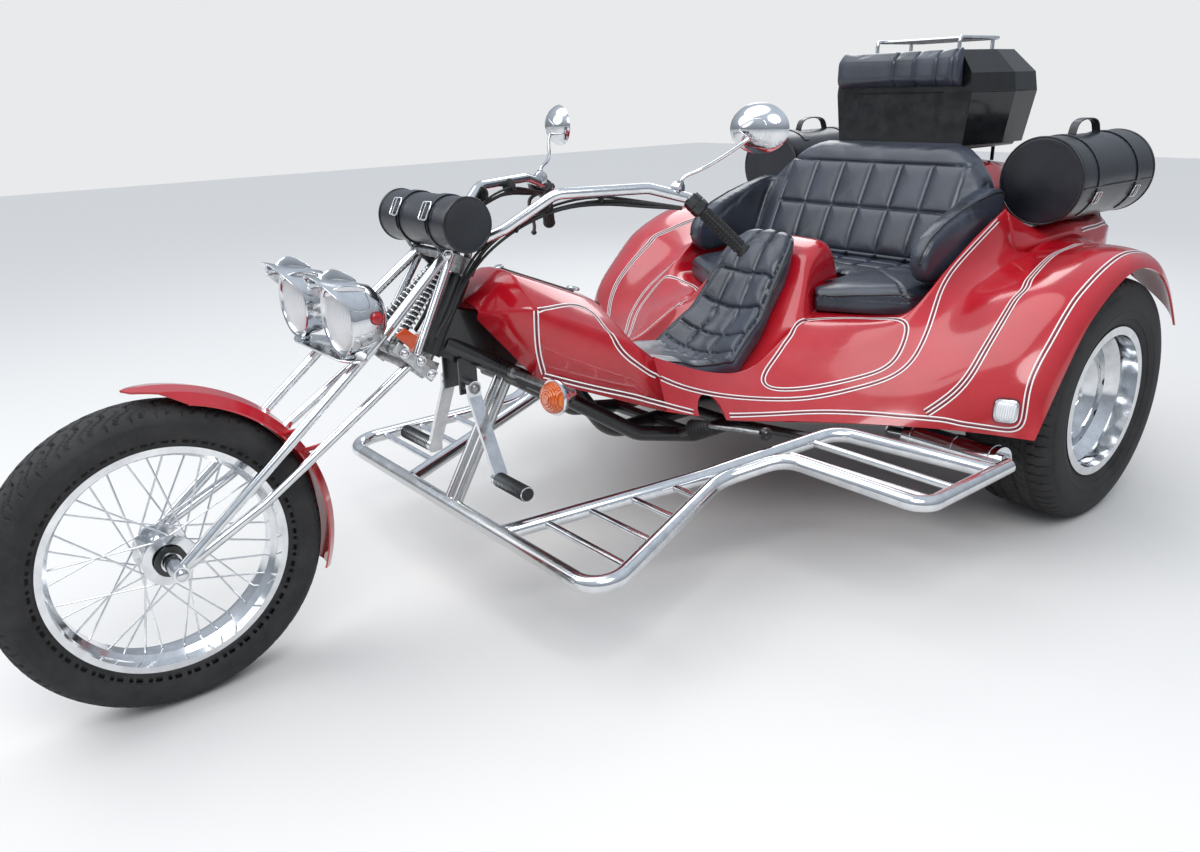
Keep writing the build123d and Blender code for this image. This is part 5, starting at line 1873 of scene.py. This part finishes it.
def piping(name, piece, guide, direction, body="chassis", radius=2.6, closed=False):
    """A piped edge along a guide, half sunk into the padding."""
    places = []
    for spot in evenly(guide, 14, closed):
        place, normal = on_padding(piece, spot, direction)
        places.append(from_model(place + normal * 0.0008))
    strand(name, places, radius, PIPING, body, closed=closed)


def rider_outline(share):
    """The rider's seat seen from above, at a share of its half width."""
    return [(row[0], row[1] * share, row[4]) for row in RIDER_ROWS[1:-1]]


def rider_seams():
    for side, places in named_sides(rider_outline(0.9)):
        piping(f"rider_piping_{side}", "rider_cushion", places, (0.35, 0, 1))
    for side, places in named_sides(rider_outline(0.84)):
        stitches(f"rider_edge_thread_{side}", "rider_cushion", places, (0.35, 0, 1))
    front = [(1066 - abs(y) ** 2 / 900, y, 529) for y in range(-110, 111, 20)]
    piping("rider_piping_front", "rider_cushion", front, (0.35, 0, 1))
    for index, column in enumerate(RIDER_COLUMNS[1:-1]):
        rows = [row for row in RIDER_ROWS if 410 < row[0] < 750]
        line = [(row[0], column * max(row[1], 90) / 165, row[5]) for row in rows]
        stitches(f"rider_column_{index}", "rider_cushion", line, (0.35, 0, 1))
    for index, station in enumerate(RIDER_LINES):
        reach = int(0.8 * np.interp(station, [402, 440, 500, 555, 745], [48, 106, 133, 140, 178]))
        line = [(station, y, float(rider_height(station))) for y in range(-reach, reach + 1, 10)]
        stitches(f"rider_line_{index}", "rider_cushion", line, (0.35, 0, 1))


def bench_seams():
    for index, y in enumerate(BENCH_COLUMNS[1:-1]):
        stitches(
            f"bench_column_{index}", "bench_backrest",
            [(bench_front(z), y, z) for z in range(672, 936, 12)], (1, 0, 0.4), gap=8,
        )
        stitches(
            f"bench_base_column_{index}", "bench_cushion", [(x, y, 640) for x in range(24, 166, 12)],
            (0, 0, 1), gap=8,
        )
    for index, (z, reach) in enumerate(((800, 330), (935, 345))):
        stitches(
            f"bench_line_{index}", "bench_backrest",
            [(bench_front(z), y, z) for y in range(-reach, reach + 1, 15)], (1, 0, 0.4), gap=8,
        )
    for index, x in enumerate((95, 165)):
        stitches(
            f"bench_base_line_{index}", "bench_cushion", [(x, y, 640) for y in range(-360, 361, 15)],
            (0, 0, 1), gap=8,
        )
    front = [(327, 436, 622), (388, 333, 620), (434, 242, 614), (448, 212, 612)]
    for side, places in named_sides(front):
        piping(
            f"bench_front_piping_{side}", "bench_cushion",
            [tuple(Vector(place) + Vector((-4, 0, 0))) for place in places], (0.5, 0, 1),
        )
    lobe = [(180, 208, 640), (235, 252, 640), (295, 300, 640), (345, 340, 640)]
    for side, places in named_sides(lobe):
        stitches(f"bench_lobe_{side}", "bench_cushion", places, (0, 0, 1), gap=7)
    wing = [(x, 405, z) for x, z in WING[3:12]]
    for mirror, side in TAG.items():
        inner = [(x, mirror * 406, z) for x, y, z in wing]
        outer = [(x, mirror * 449, z) for x, y, z in wing]
        piping(f"wing_piping_{side}", "bench_backrest", outer, (0.25, mirror * 0.3, 1))
        stitches(f"wing_thread_{side}", "bench_backrest", inner, (0.25, 0, 1))
        corner = [(bench_front(z) + 4, mirror * 391, z) for z in range(690, 880, 14)]
        stitches(f"bench_corner_{side}", "bench_backrest", corner, (1, -mirror * 0.4, 0.3))
    pad = [(-145, y, z) for y in (0, 75, 150) for z in (1175, 1250)]
    for index in range(0, len(pad), 2):
        stitches(
            f"pad_pleat_{index}", "box_backrest", pad[index : index + 2], (1, 0, 0), body="top_box_lid",
            gap=8,
        )


rider_seams()
bench_seams()


# Tank: the black strip along its ridge, with its chrome end piece and filler
def tank_strip():
    guide = [(1380, 0, 800), (1300, 0, 760), (1220, 0, 725), (1165, 0, 700)]
    shape = bmesh.new()
    rows = []
    for spot in evenly(eased(guide, rounds=2), 12):
        row = []
        for y in (-13, -8, 0, 8, 13):
            hit = SKINS[1].ray_cast(at(spot.x, y, spot.z + 120), Vector((0, 0, -1)))
            lift = 0.0 if abs(y) == 13 else 3.2
            row.append((spot.x, y, hit[0].z * 1000 + lift + 0.4))
        rows.append(row)
    across_rows(shape, rows)
    strip = made("tank_strip", shape, FRAME_BLACK, "chassis", 50)
    walled(strip, 0.0012, 1)
    ends = rows[-1][2]
    lathe(
        "tank_strip_end", (ends[0] - 6, 0, ends[2] - 2), (-0.25, 0, 1),
        [(0, 15), (2, 17), (6, 17), (9, 14), (10, 6), (10, 0)], CHROME, "chassis", 36,
    )
    start = rows[0][2]
    lathe(
        "tank_strip_front", (start[0] + 4, 0, start[2] - 2), (0.2, 0, 1),
        [(0, 11), (2, 12.5), (5, 12), (7, 8), (7, 0)], CHROME, "chassis", 32,
    )


tank_strip()


# Light and floor
def light_scene():
    scene = bpy.context.scene
    scene.view_settings.view_transform = "Standard"
    world = bpy.data.worlds.new("sky")
    scene.world = world
    world.use_nodes = True
    tree = world.node_tree
    background = tree.nodes["Background"]
    way = node(tree, "ShaderNodeTexCoord").outputs["Generated"]
    height = node(tree, "ShaderNodeSeparateXYZ", {}, {"Vector": way}).outputs["Z"]
    join(tree, background, Color=ramp(tree, height, -0.1, 0.75, "8B9097", "E2ECF9"))
    background.inputs["Strength"].default_value = 0.86
    seen = node(tree, "ShaderNodeLightPath").outputs["Is Camera Ray"]
    backdrop = node(tree, "ShaderNodeBackground", {}, {"Color": linear("E9EAEB"), "Strength": 1.0})
    both = node(
        tree, "ShaderNodeMixShader", {}, {0: seen, 1: background.outputs[0], 2: backdrop.outputs[0]},
    )
    tree.links.new(both.outputs[0], tree.nodes["World Output"].inputs["Surface"])
    sun = bpy.data.objects.new("sun", bpy.data.lights.new("sun", "SUN"))
    sun.data.energy = 1.1
    sun.data.angle = 0.9
    sun.rotation_euler = (0.35, 0.3, 0)
    scene.collection.objects.link(sun)
    for name, place, size, power in (
        ("key", (2600, 2600, 3600), 2.6, 90),
        ("fill", (3600, -1800, 2600), 3.0, 30),
        ("back", (-2200, -2200, 3200), 2.6, 50),
    ):
        lamp = bpy.data.lights.new(name, "AREA")
        lamp.shape = "DISK"
        lamp.size = size
        lamp.energy = power
        obj = bpy.data.objects.new(name, lamp)
        obj.location = at(*place)
        obj.rotation_euler = (at(1000, 0, 400) - obj.location).to_track_quat("-Z", "Y").to_euler()
        scene.collection.objects.link(obj)


def lay_floor():
    shape = bmesh.new()
    bmesh.ops.create_grid(shape, x_segments=1, y_segments=1, size=14)
    mesh = form_mesh("floor", shape, outward=False)
    floor = bpy.data.objects.new("floor", mesh)
    bpy.context.scene.collection.objects.link(floor)
    mesh.materials.append(finish("pale_floor", Roughness=0.8, Base_Color=linear("D9D7D4"))[0])


light_scene()
lay_floor()
